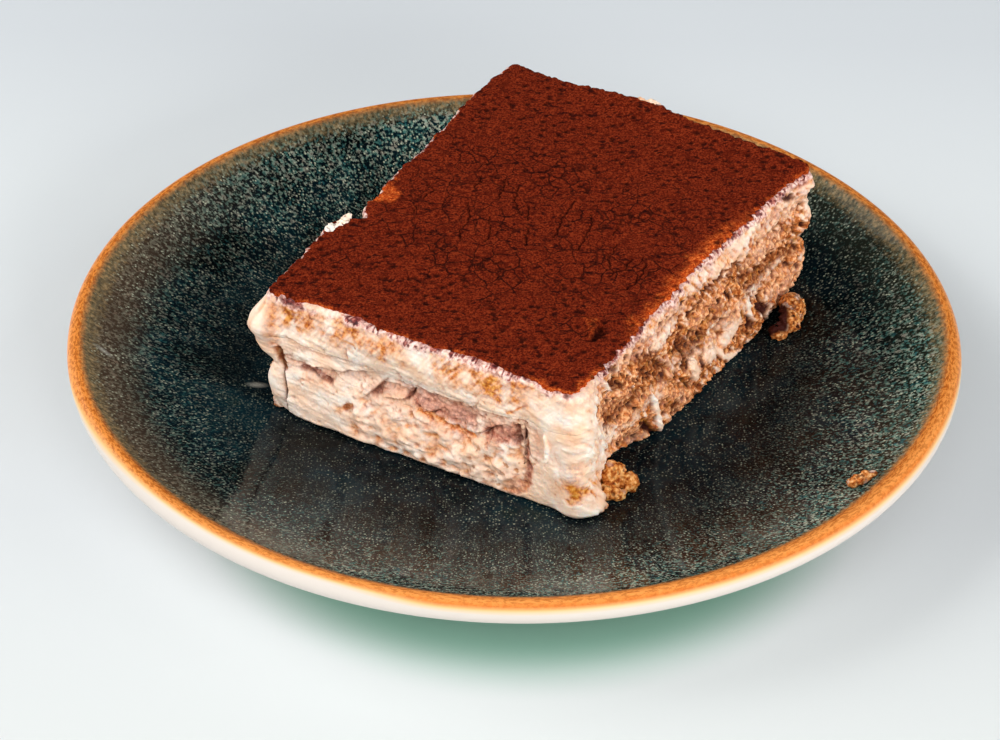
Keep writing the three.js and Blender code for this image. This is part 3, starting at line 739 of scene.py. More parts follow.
def swell(side, along, height, out, wide, high):
    """A broad swelling (out > 0) or hollow (out < 0) of the cut faces."""
    across = gaps_round(side, along) / wide
    face["out"] += out * np.exp(-across[None, :] ** 2 - ((UP - height) / high) ** 2)


CAMERA_AXES = np.array([CAMERA_RIGHT, CAMERA_DOWN, CAMERA_FORWARD])


def picture_place(points):
    """Slopes to the right and down at which the camera sees points in mm."""
    away = (points - np.array(CAMERA_PLACE_MM)) @ CAMERA_AXES.T
    return away[..., :2] / away[..., 2:]


def as_seen(side, path):
    """Moves places given on a flat cut to the places of the map that the camera sees there."""
    number = SIDES.index(side)
    moved = []
    for along, height in path:
        plan = CORNERS[number] + DIRECTIONS[number] * along
        aim = picture_place(in_slice(plan, np.array(height)))
        gap = gaps_round(side, along)
        near = np.flatnonzero(np.abs(gap) < 13)
        lines = np.flatnonzero(np.abs(rows - height) < 8)
        plan = outline_points[near] + outline_normals[near] * face["out"][np.ix_(lines, near)][..., None]
        seen_at = picture_place(in_slice(plan, rows[lines][:, None]))
        miss = np.linalg.norm(seen_at - aim, axis=-1) + 2e-5 * np.abs(gap[near])
        line, column = np.unravel_index(np.argmin(miss), miss.shape)
        moved.append((along + gap[near][column], rows[lines][line]))
    return moved


# %% Strokes, folds and streaks
def along_path(side, path, reach):
    """Window of the map round a path, and there each place's distance, side and share of the way."""
    path = np.array(as_seen(side, path) if side in ("front", "right") else path, float)
    centre = path[:, 0].mean()
    across = gaps_round(side, centre) + centre
    picked = (across > path[:, 0].min() - reach) & (across < path[:, 0].max() + reach)
    lines = (rows > path[:, 1].min() - reach) & (rows < path[:, 1].max() + reach)
    window = np.ix_(lines, picked)
    x, y = np.meshgrid(across[picked], rows[lines])
    if len(path) == 1:
        path = np.concatenate([path, path + 0.01])
    runs = np.diff(path, axis=0)
    lengths = np.hypot(runs[:, 0], runs[:, 1])
    reached = np.concatenate([[0], np.cumsum(lengths)]) / lengths.sum()
    nearest, beside, share = np.full(x.shape, 1e9), np.zeros(x.shape), np.zeros(x.shape)
    for k, (start, run) in enumerate(zip(path[:-1], runs)):
        t = np.clip(((x - start[0]) * run[0] + (y - start[1]) * run[1]) / lengths[k] ** 2, 0, 1)
        off_x, off_y = x - start[0] - t * run[0], y - start[1] - t * run[1]
        away = np.hypot(off_x, off_y)
        closer = away < nearest
        nearest = np.where(closer, away, nearest)
        beside = np.where(closer, np.sign(run[0] * off_y - run[1] * off_x), beside)
        share = np.where(closer, reached[k] + t * (reached[k + 1] - reached[k]), share)
    return window, nearest, beside, share


def brush(side, path, width, edge=0.6, rag=0.5, out=0.0, taper=0.0, **aims):
    """One stroke along a path of (along, height) places. It adds relief and moves masks to aims."""
    window, nearest, _, share = along_path(side, path, width * 2.4 + 1)
    narrowing = 1 - taper + taper * np.sqrt(np.clip(np.sin(np.pi * share), 0, 1))
    nearest = nearest / (width * narrowing) * (1 + rag * RAGGED[window] + 0.35 * rag * RAGGED_FINE[window])
    cover = smoothstep((1 + edge - nearest) / (2 * edge))
    face["out"][window] += out * cover
    for name, aim in aims.items():
        face[name][window] += (aim - face[name][window]) * cover


def fold(side, path, lift, reach, shade, line):
    """A lip of cream left of a path; its gap on the right is painted in the wet tone and its crease dark, as
    shade, and the lip paler, as highlight; it fades at both ends.
    """
    window, nearest, beside, share = along_path(side, path, 3 * reach + 1)
    nearest = nearest + 0.25 * RAGGED[window]
    strength = np.clip(np.sin(np.pi * np.clip(share, 0.04, 0.96)), 0, 1) ** 0.6
    signed = np.where(beside > 0, 1, -1) * np.maximum(nearest, 0)
    lip = np.exp(-np.maximum(signed, 0) / reach) * smoothstep(signed / 0.4 + 0.5)
    gap = np.exp(-np.maximum(-signed, 0) / (0.8 * reach)) * smoothstep(0.5 - signed / 0.4)
    face["out"][window] += strength * lift * (1.5 * lip - 1.3 * gap)
    # painted shade: the gap under the lip takes the wet tone; painted highlight: the lip loses it
    face["wet"][window] = np.maximum(face["wet"][window], np.clip(1.2 * strength * shade * gap, 0, 1))
    on_lip = smoothstep((signed - 0.2) / 0.5) * np.exp(-np.maximum(signed, 0) / 0.9)
    face["wet"][window] *= 1 - 0.6 * strength * on_lip
    # the crease line is painted dark as shade
    narrow = smoothstep((0.5 - np.abs(signed + 0.2)) / 0.35)
    face["pit"][window] = np.maximum(face["pit"][window], np.clip(1.35 * strength * line * narrow, 0, 0.9))


def streaks(angle, width_mm, length_mm, seed):
    """Noise drawn out along one direction of the cut faces, in degrees above the level."""
    c, s = np.cos(np.radians(angle)), np.sin(np.radians(angle))
    drawn = np.stack([
        (c * ROUND + s * UP) / length_mm, (c * UP - s * ROUND) / width_mm, np.zeros(ROUND.shape),
    ], axis=-1)
    return waves(drawn, 1.0, seed, 3) * smoothstep(np.minimum(ROUND, PERIMETER - ROUND) / 2)


def between(low, high, soft, value):
    """1 between two limits, with soft ends."""
    return smoothstep((value - low) / soft + 0.5) * smoothstep((high - value) / soft + 0.5)


# %% Broad forms of the cut faces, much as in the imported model
# side, place along it, height, how far it stands out, and its half width and half height
FORMS = [
    ("front", 34, 18, -1.5, 22, 3), ("front", 9, 15.5, -1.2, 1.8, 2), ("front", 16, 15, -1.2, 1.8, 1.8),
    ("front", 65, 15, -1.6, 1.6, 7), ("front", 30, 27, 0.9, 14, 4), ("front", 52, 26, 0.8, 9, 4),
    ("front", 36, 7, 0.8, 20, 4), ("front", 2, 0, -1.6, 4, 3),
    ("rear", 104.5, 24, 4.2, 4.2, 5.5), ("rear", 105, 17.5, 2.4, 3.5, 2.6),
    ("front", 0, 22.4, 2.5, 3.4, 4.2), ("front", 0, 16.4, 0.7, 2.6, 1.8), ("back", 1.5, 20, 1.7, 4, 7),
    ("back", 2, 3, 1.2, 5, 5), ("right", 24, 1.5, -2.0, 9, 4.5), ("right", 11, 2, -1.6, 4, 5),
    ("rear", 104, 13.4, -1.8, 4, 1.5), ("rear", 103, 7.5, 1.6, 5, 3.5),
    ("right", 55, 33, -1.3, 30, 6), ("right", 24, 2, -3, 8, 5), ("right", 39.5, 5, 1.6, 2.4, 4.5),
    ("right", 58, 9, 1.2, 6, 4), ("right", 64, 10, -1.8, 1.8, 4.5), ("right", 72, 11, 1.4, 3.5, 4),
    ("right", 80, 5, 1.6, 8, 5), ("right", 14, 22, -1.3, 5, 5), ("right", 44, 20, -1, 9, 5),
    ("right", 101, 29, 1.6, 3, 2.4), ("right", 101, 18, 1.2, 4, 2), ("right", 100, 9, 1.6, 4, 3),
    ("rear", 73.2, 31, -3.2, 2.3, 7), ("rear", 66, 31, -1.5, 6, 7), ("rear", 88, 31, 1.2, 12, 5),
    ("rear", 80, 32, 1.2, 3.5, 4),
    ("rear", 16, 30, 1.6, 14, 6), ("rear", 40, 18, -1.4, 16, 4),
    ("back", 40, 32, 2.4, 32, 9), ("back", 40, 19, -1.4, 14, 4), ("back", 62, 9, 1.2, 9, 5),
    # the cream that wraps down the near corner and spreads at its foot
    ("right", 0, 14, 1.5, 9, 22), ("right", 5, 0.5, 4.6, 6.5, 5), ("front", 76, 0.5, -1.6, 6, 5),
    ("right", 4, 16, 0.8, 5, 8),
    # the far edge bulges, where the cocoa is piled
    ("back", 8, 32, 1.2, 13, 8), ("back", 44, 32, 1.0, 10, 8),
]
for form in FORMS:
    swell(*form)
print("broad forms reach from", face["out"].min().round(1), "to", face["out"].max().round(1), "mm")

# %% Where cream and sponge lie, before any smears
above_upper = smoothstep((UP - upper_top + 1.3 * RAGGED) / 0.9 + 0.5)
above_lower = smoothstep((UP - lower_top + 1.0 * RAGGED) / 0.9 + 0.5)
below_middle = smoothstep((middle_top - UP + 1.0 * RAGGED) / 0.9 + 0.5)
face["cream"] = np.maximum(above_upper, above_lower * below_middle)
coffee = waves(SPOTS, 9, 11, 3)
in_lower = UP < lower_top
face["soak"] = np.clip(0.45 + 0.5 * coffee + np.where(in_lower, -0.12, 0.06), 0, 1)
face["stain"] = np.clip(0.5 * waves(SPOTS, 5, 12, 3) - 0.1, 0, 0.5) * face["cream"]
print("cream lies on", face["cream"].mean().round(2), "of the cut faces before any smears")

# %% [markdown]
# ## Smears, hollows and stains
# Each line below is one mark of the knife or the spoon. The front cut went through the cream, so
# it is mostly smeared over, with a wet seam that shows the coffee-soaked biscuit. The right cut
# tore the sponge open.

# %% Front cut: a smear of cream over everything
FRONT_END, RIGHT_END = 79, 181
on_front = smoothstep((FRONT_END - ROUND) / 2) * (ROUND < 90)
thick = 0.96 - 0.25 * np.maximum(waves(SPOTS, 2.6, 21, 3) - 0.1, 0)
face["cream"] = np.where(on_front > 0, np.maximum(face["cream"], thick * on_front), face["cream"])
print("front cut smeared over the first", FRONT_END, "mm of the map")

# %% Front cut: toasted blotches below the cocoa, slanting the way the knife was pulled
slanted = streaks(54, 0.9, 3.6, 23)
blotches = waves(SPOTS, 3.4, 26, 3)
patchy = np.clip(between(4, 36, 6, ROUND) + between(43, 78, 5, ROUND) + 0.25, 0, 1)
band = between(25.0, 34, 4.2, UP + 1.5 * RAGGED + 0.8 * blotches) * patchy * on_front
toasted = np.clip(0.60 + 0.12 * smoothstep((ROUND - 50) / 8) + 0.60 * blotches + 0.55 * slanted, 0, 1)
raise_mask("stain", band * toasted)
darker = smoothstep((slanted + 0.5 * blotches + 0.35 * RAGGED_FINE - 0.30) / 0.25)
darker *= smoothstep((UP - 26.5) / 3)
raise_mask("pit", 0.27 * band * darker)
face["out"] += 0.14 * band * slanted
print("blotches cover", (band * toasted > 0.4)[:, columns < FRONT_END].mean().round(2), "of the front cut")

# %% Front cut: tan smudges and brown specks over the soft lumps of the lower biscuit
lumps = waves(SPOTS, 3.4, 61, 2)
smudges = streaks(33, 1.5, 3.2, 62)
on_lower = on_front * between(21, 66, 6, ROUND) * smoothstep((14.5 - UP) / 2) * smoothstep((UP + 0.2) / 1.5)
raise_mask("stain", on_lower * np.clip(0.08 + 0.55 * smudges - 0.55 * lumps, 0, 0.6))
towards_end = smoothstep((ROUND - 40) / 20)
specks = smoothstep((waves(SPOTS, 1.3, 63, 2) - 0.40 + 0.02 * (UP - 4)) / 0.2)
raise_mask("pit", 0.32 * on_lower * towards_end * specks)
raise_mask("stain", 0.7 * on_lower * towards_end * specks)
raise_mask("wet", 0.35 * on_lower * np.clip(1.6 * streaks(30, 1.5, 3.6, 64) - 0.15, 0, 1))
face["out"] += on_lower * 0.95 * lumps
print("soft lumps stand up to", (on_lower * 0.95 * lumps).max().round(1), "mm out")

# %% Front cut: the wet seam and its folds
for path, width, wet, cream in (
    ([(37.5, 18.2), (45, 17.6), (52.5, 17.0)], 2.7, 0.72, 0.7), ([(57.4, 16.2), (62, 17.0)], 2.5, 0.78, 0.6),
    ([(28, 16.2), (32, 17.8), (36, 18.8)], 1.8, 0.42, 0.8), ([(20, 16.4), (25, 18.6)], 1.4, 0.24, 0.9),
    ([(6, 15.6), (17, 15.3)], 1.3, 0.34, 0.8), ([(32, 14.4), (44, 14.2), (52, 13.4)], 0.9, 0.3, 0.9),
    ([(68.6, 19), (69.2, 13.6)], 1.5, 0.34, 0.9), ([(65.8, 18.6), (66.6, 14.2)], 1.1, 0.5, 0.7),
):
    brush("front", path, width, edge=1.0, rag=0.8, wet=wet, cream=cream, out=-0.35)
brush("front", [(38.5, 16.6), (44, 15.8), (50, 15.0)], 0.9, edge=1.1, wet=0.95, pit=0.12, out=-0.4)
brush("front", [(57, 15.4), (61.5, 14.6)], 0.8, edge=1.1, wet=0.95, pit=0.1, out=-0.3)
brush("front", [(48.5, 19.6), (50, 17), (50.4, 15)], 0.5, edge=1.2, wet=0.7, out=-0.2)
brush("front", [(54.6, 17.6)], 0.85, wet=0.0, cream=1.0, stain=0.0, out=0.5)
for path, lift, reach, shade, line in (
    ([(6.6, 16.4), (10, 17.3), (14, 17.4), (18.6, 16.6)], 0.9, 1.2, 0.55, 0.15),
    ([(8.8, 15.3), (11.4, 15.9), (14.6, 14.3)], 0.5, 0.8, 0.7, 0.55),
    ([(14.2, 14.0), (15.6, 15.4), (17.2, 14.2)], 0.5, 0.7, 0.6, 0.5),
    ([(18.8, 16.9), (21.6, 19.2), (25.8, 20.3)], 0.5, 1.0, 0.45, 0.32),
    ([(25.4, 13.4), (28.0, 16.4), (30.4, 19.5)], 0.6, 1.2, 0.65, 0.4),
    ([(30.6, 19.2), (33, 20.2), (36.8, 19.8)], 0.5, 0.9, 0.35, 0.1),
    ([(31, 15.2), (34, 16.2), (36.4, 17.0), (38.5, 20.8)], 0.7, 1.2, 0.7, 0.5),
    ([(38.2, 16.9), (41, 15.6), (43, 15.9), (45.2, 17.6)], 0.45, 1.0, 0.75, 0.45),
    ([(44.6, 14.5), (49.4, 14.2)], 0.3, 0.8, 0.5, 0.2),
    ([(53.2, 13.6), (56, 15.5), (58.6, 17.9), (60.4, 18.7)], 0.5, 1.0, 0.6, 0.3),
    ([(36.5, 21.0), (46, 21.0), (56, 20.8), (63, 21.2)], 0.5, 1.3, 0.3, 0.0),
    ([(4.6, 21.8), (12, 21.0), (19.4, 21.0)], 0.45, 1.2, 0.15, 0.0),
    ([(20.6, 24.2), (21.4, 21.2)], 0.3, 0.9, 0.3, 0.0),
):
    fold("front", path, lift, reach, shade, line)
brush("front", [(8.0, 17.6), (12, 18.9), (18, 18.5)], 0.9,
      edge=1.0, rag=0.2, wet=0, cream=1, stain=0, out=0.5)
# dark recesses under the folds' lips, painted as shade
for path, width, pit, wet, out in (
    ([(9.6, 15.3), (13.2, 15.1)], 0.5, 0.45, 0.9, -0.4), ([(14.4, 14.5), (16.8, 14.5)], 0.6, 0.5, 0.8, -0.4),
    ([(27.8, 15.0), (29.4, 16.4)], 0.8, 0.4, 0.8, -0.4), ([(36.6, 17.2), (37.8, 19.8)], 0.5, 0.45, 0.8, -0.3),
):
    brush("front", path, width, edge=0.9, pit=pit, wet=wet, out=out)
brush("front", [(39, 14.4), (46, 13.8), (53, 12.8)], 0.6, edge=1.1, stain=0.95, wet=0.2, out=-0.2)
brush("front", [(9.5, 12.8), (11.5, 12.2)], 1.1, edge=1.3, stain=0.4)
brush("front", [(14.6, 12.6), (15.4, 11.6)], 1.0, edge=1.3, stain=0.45)
brush("front", [(36, 22.8), (48, 22.2), (60, 22.4)], 1.0, edge=1.4, wet=0, cream=1, stain=0.05, out=0.2)
print("front cut: seam and folds laid")

# %% Front cut: the end of the biscuit, a slot that turns in under its round end
# the slot is painted dark with the wet tone, as shade
brush("front", [(64.0, 19.8), (63.7, 17), (63.9, 14.3)], 0.8,
      edge=0.8, rag=0.3, taper=0.5, pit=0.5, wet=0.9, out=-1.0)
fold("front", [(67.9, 12.0), (66.3, 15.4), (65.6, 20.4)], 0.6, 0.8, 0.8, 0.75)
brush("front", [(66.4, 13.4), (66.9, 9), (66.6, 5.4)], 0.85,
      edge=1.0, rag=0.4, wet=0.88, pit=0.22, cream=0.4, out=-0.8)
brush("front", [(66.6, 5.4), (65.6, 2.8), (62.6, 1.2)], 0.8, edge=1.1, wet=0.5, stain=0.7, out=-0.5)
brush("front", [(64.5, 4.6), (62.4, 2.8)], 1.4, edge=1.2, wet=0.35, stain=0.5)
brush("front", [(70.6, 19.6), (71.4, 17), (71.4, 12.8)], 0.55,
      rag=0.2, taper=0.7, wet=0, cream=1, stain=0, out=0.7)
print("front cut: biscuit's end cut in")

# %% Front cut: the left corner: a deep crease beside the lobes painted dark as shade, and painted tan shade in the valley
brush("front", [(2.6, 17.6), (3.4, 15.4), (4.4, 13.2)], 0.75,
      edge=1.0, rag=0.4, pit=0.75, wet=0.5, stain=0.9, out=-1.0)
fold("front", [(3.2, 16.4), (4.6, 12), (5.2, 7.6), (5.3, 1.6)], 0.5, 0.9, 0.5, 0.8)
brush("front", [(1.0, 28), (0.4, 23), (0.8, 18)], 1.25, edge=1.6, rag=0.4, stain=0.62, pit=0.05, out=-0.5)
brush("front", [(0.4, 24), (0.5, 19.5)], 0.7, edge=1.4, rag=0.5, pit=0.2)
brush("front", [(-3.2, 18.4), (-2.0, 15.6)], 1.5, edge=1.2, stain=0.05, pit=0, cream=1)
brush("front", [(-3.6, 24), (-3.2, 19)], 0.8, edge=1.4, stain=0.1, cream=1)
brush("rear", [(107, 11.5), (106.6, 3)], 1.4, edge=1.0, cream=1, stain=0.1)
print("front cut: left corner creased to", face["out"][:, columns < 6].min().round(1), "mm")

# %% Front cut: stains of washed-in cocoa, and amber coffee at the corner
for path, width, amount in (
    ([(20.8, 31), (20.2, 28.2)], 0.4, 0.9), ([(44.2, 25.4), (45.4, 27.4)], 0.6, 0.9),
    ([(45.2, 26.4), (46.4, 29)], 0.5, 0.7),
    ([(61.4, 22.2), (63.4, 23.8), (66.2, 26.2)], 0.3, 1.0),
    ([(72.6, 19.0), (74, 20.2), (76.4, 22.6)], 0.22, 0.9),
    ([(19, 26.2), (22.4, 25.8)], 0.3, 0.9), ([(73, 29), (76.5, 31)], 0.9, 0.5),
    ([(17.4, 6.2), (20.8, 9)], 0.6, 0.5),
    ([(48, 24), (49.6, 25.6)], 0.35, 0.6), ([(54, 24.6), (55.4, 26)], 0.35, 0.6),
):
    brush("front", path, width, edge=1.1, rag=0.9, stain=amount)
brush("front", [(18.2, 6.8), (20, 8.2)], 0.6, edge=1.0, stain=0.55, out=-0.1)
brush("front", [(19.9, 8.1), (21.7, 9.4)], 0.5, edge=0.8, pit=0.35, wet=0.5, stain=1.0, out=-0.35)
brush("front", [(73.4, 13.8), (74, 13)], 1.0, edge=1.4, wet=0.55, out=-0.4)
brush("front", [(37.5, 28.6), (40.6, 25)], 2.4, edge=1.3, stain=0.05, pit=0, cream=1, out=0.35)
brush("front", [(67, 27.5), (72, 23)], 2.4, edge=1.3, stain=0.05, pit=0, cream=1, out=0.2)
stained = face["stain"][:, columns < LENGTHS[0]] > 0.4
print("front cut painted; stains cover", stained.mean().round(2), "of it")

# %% Right cut: torn sponge
on_right = between(FRONT_END, RIGHT_END, 3, ROUND)
mottled = np.clip(0.5 + 0.9 * waves(SPOTS, 3.2, 31, 3), 0, 1)
upper_band = on_right * smoothstep((UP - upper_top) / 1.5)
kept = np.where(upper_band > 0.3, 0.52 + 0.46 * mottled, 0.5 + 0.35 * mottled)
face["cream"] = np.where(on_right > 0.5, face["cream"] * kept, face["cream"])
face["soak"] = np.where(upper_band > 0.3, 0.12 + 0.25 * mottled, face["soak"])
flushed = 0.25 + 0.45 * smoothstep(waves(SPOTS, 2.4, 32, 3) / 0.5)
raise_mask("stain", on_right * flushed)
raise_mask("wet", 0.4 * upper_band * smoothstep((waves(SPOTS, 3.2, 33, 2) - 0.1) / 0.4))

fibres = streaks(-48, 1.2, 4.6, 34)
torn = between(FRONT_END, PERIMETER - 12, 6, ROUND)
face["soak"] = np.clip(face["soak"] + 1.0 * torn * fibres, 0, 1)
raise_mask("cream", 0.8 * torn * smoothstep((-fibres - 0.18) / 0.35))
face["out"] -= 0.45 * torn * fibres
hidden = between(RIGHT_END, PERIMETER - 10, 6, ROUND)
face["cream"] *= 1 - 0.45 * hidden * (1 - mottled)
raise_mask("stain", 0.7 * hidden * flushed)
print("torn sponge runs from", FRONT_END, "to", round(PERIMETER - 12), "mm round the slice")

# %% Right cut: cream wraps the near corner and ends in a torn edge
for path, width in (
    ([(-5, 31), (-3, 18), (-1, 5)], 6.5), ([(3.2, 29.5), (4.4, 20)], 4.6),
    ([(6.4, 30.6), (6.2, 27), (5.6, 21)], 3.6), ([(6.4, 17), (11.5, 14.2)], 4.0),
    ([(5.4, 10), (9, 6.4), (6, 1.2)], 4.4), ([(16, 12.4), (19.6, 12.6)], 1.7),
    ([(10.4, 8.4), (12.4, 7.6)], 2.2),
):
    brush("right", path, width, edge=0.25, rag=0.25, cream=1, soak=0, wet=0, stain=0.04, pit=0, out=0.25)
brush("right", [(-3.6, 12), (-1.6, 9)], 1.2, edge=1.4, rag=0.8, stain=0.5, out=-0.1)
brush("right", [(-1.4, 8.6), (0.2, 6.8), (1.6, 4.6)], 1.35, edge=1.7, rag=0.6, stain=1.0, soak=1.0, out=-0.25)
brush("right", [(-0.4, 7), (0.8, 5.2)], 0.9, edge=1.4, rag=0.6, stain=1.0, soak=1.0, pit=0.16)
brush("right", [(7.4, 1.6), (9.8, 4.2)], 1.0, edge=1.8, rag=0.5, stain=0.6, soak=0.8)
brush("right", [(-3.6, 14.6), (-1.6, 12.8), (2, 12.4)], 1.2, edge=1.4, stain=0.45)
brush("right", [(10.2, 30.2), (11.6, 28.6), (12.8, 26.8)], 0.6, rag=0.2, taper=0.5, cream=1, stain=0, out=1.0)
brush("right", [(8, 30.2), (10, 28)], 0.9, edge=1.2, wet=0.3, stain=0.3, out=-0.5)
brush("right", [(-3.4, 24.6), (-0.4, 20)], 0.8, edge=1.5, stain=0.3, out=-0.2)
brush("right", [(-1.6, 14.4), (2, 12.6)], 0.9, edge=1.5, stain=0.35, out=-0.15)
print("right cut: corner wrapped in cream")

# %% Right cut: the first block, light at the top left and soaked at its foot and right side
# a stroke that sinks in (out < 0) is dark with coffee and with painted shade in its depth
for path, width, cream, soak, pit, out in (
    ([(11.5, 24.5), (15, 21.8)], 2.6, 0.25, 0.15, 0.0, 0.2),
    ([(12.6, 18.8), (18, 17.8), (25, 17)], 2.3, 0, 1, 0.32, -0.7),
    ([(24, 26.6), (28.4, 23.8), (33, 20.0), (35.4, 17.4)], 2.6, 0, 1, 0.24, -0.5),
    ([(28, 26.4), (31.6, 24)], 0.6, 0, 1, 0.45, -0.4), ([(33, 22), (35.4, 19)], 0.8, 0, 1, 0.3, -0.4),
    ([(13.6, 27.8), (16, 26), (18.4, 23.8)], 0.9, 0, 1, 0.6, -0.7),
    ([(18, 27.8), (19.6, 26)], 0.4, 0, 1, 0.35, -0.4),
    ([(13.4, 31.8), (16.4, 29.4)], 0.7, 0.1, 1, 0.6, -0.5), ([(20, 29), (28, 29.4)], 1.7, 0.3, 0.5, 0.0, 0),
    ([(19, 21), (24, 23.6)], 2.0, 0.1, 0.3, 0.0, 0.2), ([(34, 28.8), (44, 29)], 1.4, 0.4, 0.65, 0.0, 0),
    ([(20, 13.6), (26, 14.6), (31, 14)], 1.6, 0.1, 0.35, 0.0, 0.1),
    ([(33, 17), (37, 16)], 1.8, 0, 0.9, 0.2, -0.2),
    ([(19, 10), (24, 8), (28, 7.4)], 2.2, 0.15, 0.2, 0.0, 0.1),
    ([(13.6, 6.8), (16.6, 5.6)], 0.7, 0, 1, 0.75, -0.5),
    ([(17.8, 9.4), (18.8, 8)], 0.4, 0, 1, 0.6, -0.3), ([(24, 4.4), (31, 3.6)], 0.8, 0.3, 0.4, 0.1, 0),
):
    brush("right", path, width, rag=0.8, cream=cream, soak=soak, pit=pit, out=out)
brush("right", [(34.6, 25.4), (38.6, 25.8)], 1.5, edge=0.9, cream=1, stain=0.1, pit=0, out=0.4)
brush("right", [(37, 21.5), (39.6, 17), (40.8, 12)], 0.9, edge=0.8, cream=0.5, stain=0.75, soak=0.2, out=0.3)
brush("right", [(44, 31.6), (46, 30.8)], 0.7, edge=0.9, stain=1, cream=0.4)
brush("right", [(44.4, 29.9), (46.2, 29.6)], 0.28, pit=0.8, wet=0.6)
print("right cut: first block painted")

# %% Right cut: the middle blocks and the far one
# as above, strokes that sink in carry coffee and painted shade
for path, width, cream, soak, pit, out in (
    ([(43, 21), (46, 17.6), (53, 16.6)], 3.1, 0, 1, 0.28, -0.4),
    ([(50, 22), (56, 21.6), (61, 21)], 2.6, 0.15, 0.1, 0, 0.4),
    ([(48, 24.2), (52, 25.8), (55.4, 27.4)], 0.6, 0, 1, 0.5, -0.6),
    ([(54.4, 27.9), (56, 26.9)], 0.5, 0, 1, 0.8, -0.6),
    ([(55, 27.2), (60, 26), (65, 26.2), (71, 25.6)], 0.55, 0, 1, 0.35, -0.5),
    ([(59, 18.4), (64, 17)], 1.5, 0.05, 0.7, 0.1, -0.2),
    ([(46, 14.6), (48.4, 11.6)], 1.2, 0, 1, 0.45, -0.5), ([(65, 21.4), (67.6, 18)], 0.45, 0, 1, 0.85, -0.7),
    ([(66, 24.6), (68, 23)], 0.6, 0, 1, 0.5, -0.4), ([(71, 24.6), (74, 20)], 0.9, 0, 1, 0.35, -0.5),
    ([(75, 19), (80, 16.8), (86, 15.8)], 2.2, 0, 1, 0.24, -0.5),
    ([(86, 16.6), (92, 15.4), (98, 12.6)], 2.0, 0, 0.95, 0.2, -0.4),
    ([(76, 23), (84, 22), (90, 21)], 2.4, 0.3, 0.35, 0.0, 0.1),
    ([(90.4, 24.6), (92, 22)], 0.4, 0, 1, 0.4, -0.4),
    ([(93, 21.6), (98, 17.4)], 0.9, 0.05, 0.85, 0.15, -0.2),
    ([(75, 24.6), (77, 23.4)], 0.45, 0, 1, 0.4, -0.3),
    ([(38, 9), (44, 6), (47, 2)], 3.2, 0.15, 0.3, 0.0, 0.1), ([(42, 4.6), (44.6, 3)], 0.9, 0, 1, 0.4, -0.4),
    ([(38.6, 13.8), (41, 12)], 0.7, 0, 1, 0.3, -0.3), ([(96.4, 9), (98, 7)], 0.7, 0, 1, 0.35, -0.4),
    ([(88, 9), (95, 5), (100, 1)], 3.4, 0.3, 0.1, 0.0, 0.2), ([(60, 14), (70, 13)], 1.8, 0.3, 0.25, 0.0, 0.1),
):
    brush("right", path, width, rag=0.8, cream=cream, soak=soak, pit=pit, out=out)
for path, width, amount in (
    ([(58, 30.4), (62, 30)], 1.6, 0.25), ([(68, 31), (72, 28.6), (75, 28.8)], 2.0, 0.0),
    ([(76, 32), (79, 30)], 1.2, 0.0),
    ([(102, 26), (104, 21), (103.6, 18)], 1.4, 0.05), ([(92, 33), (94, 32)], 0.8, 0.0),
    ([(35, 11.6), (36, 10.6)], 0.8, 0.1),
):
    brush("right", path, width, edge=0.9, rag=0.7, cream=1, soak=0, stain=amount, pit=0, out=0.25)
brush("right", [(91, 31.2), (94, 29), (97.4, 27)], 0.7,
      edge=0.9, taper=0.6, cream=0.2, soak=1, pit=0.55, out=-0.8)
brush("right", [(76.4, 28.4), (77, 26.6), (79.5, 24.4)], 0.4, rag=0.8, stain=1.0, wet=0.3)
brush("right", [(99.6, 29.8), (102, 28.4)], 0.6, edge=0.9, wet=0.7, pit=0.3, out=-0.5)
print("right cut: middle and far blocks painted")

# %% Right cut: drips, dabs and wedges of cream at its foot
for path, width, taper, amount, out in (
    ([(32.2, 13.6), (33.4, 10.6), (35.4, 6), (37.9, -0.6)], 0.85, 0.8, 0.1, 0.9),
    ([(50.6, 11.4), (51.8, 8.6), (53.6, 5.4)], 1.4, 0.3, 0.0, 0.8),
    ([(58, 8.2), (64, 7), (71, 8.2)], 1.8, 0.3, 0.2, 0.3),
    ([(66.4, 3.2), (70, 1.2), (74, 0)], 0.8, 0.4, 0.2, 0.4),
    ([(76.2, 12.2), (77.4, 10), (79, 6.4)], 0.9, 0.6, 0.1, 0.5), ([(84, 3.4), (89, 0.6)], 0.7, 0.5, 0.3, 0.4),
):
    brush("right", path, width, edge=0.5, rag=0.3, taper=taper, cream=1, soak=0, stain=amount, pit=0, out=out)
# the hollows beside the drips are stained and painted dark as shade
for path, width, pit, out in (
    ([(28.4, 9.2), (31, 6.6), (34, 2.6), (36.6, -0.4)], 0.6, 0.3, -0.5),
    ([(46.2, 9), (48, 7), (49.6, 5)], 0.8, 0.45, -0.7),
    ([(74.2, 10.6), (75.6, 7)], 0.7, 0.3, -0.5), ([(81.6, 9.2), (83, 7)], 0.6, 0.2, -0.4),
):
    brush("right", path, width, edge=1.0, rag=0.4, taper=0.5, stain=1, soak=1, cream=0.1, pit=pit, out=out)
brush("right", [(28.8, 7.4), (31.6, 4.4), (34.6, 1)], 0.7,
      edge=0.8, rag=0.3, pit=0.8, soak=1, cream=0, out=-0.9)
fold("right", [(54.6, 11.6), (55.6, 8), (56.6, 4.4)], 0.4, 1.0, 0.6, 0.6)
# the hollow under the far end of this cut is painted nearly black, as the shade beneath the slice
brush("right", [(82, 8.4), (84.6, 5), (88, 1.6)], 1.4,
      edge=0.7, rag=0.5, cream=0, soak=1, pit=0.92, wet=0.3, out=-1.8)
brush("right", [(77.6, 5.8), (80, 3.4)], 0.9, edge=0.8, cream=0, soak=1, pit=0.85, out=-0.9)
print("right cut: hollows reach", face["out"][:, columns > FRONT_END].min().round(1), "mm in")

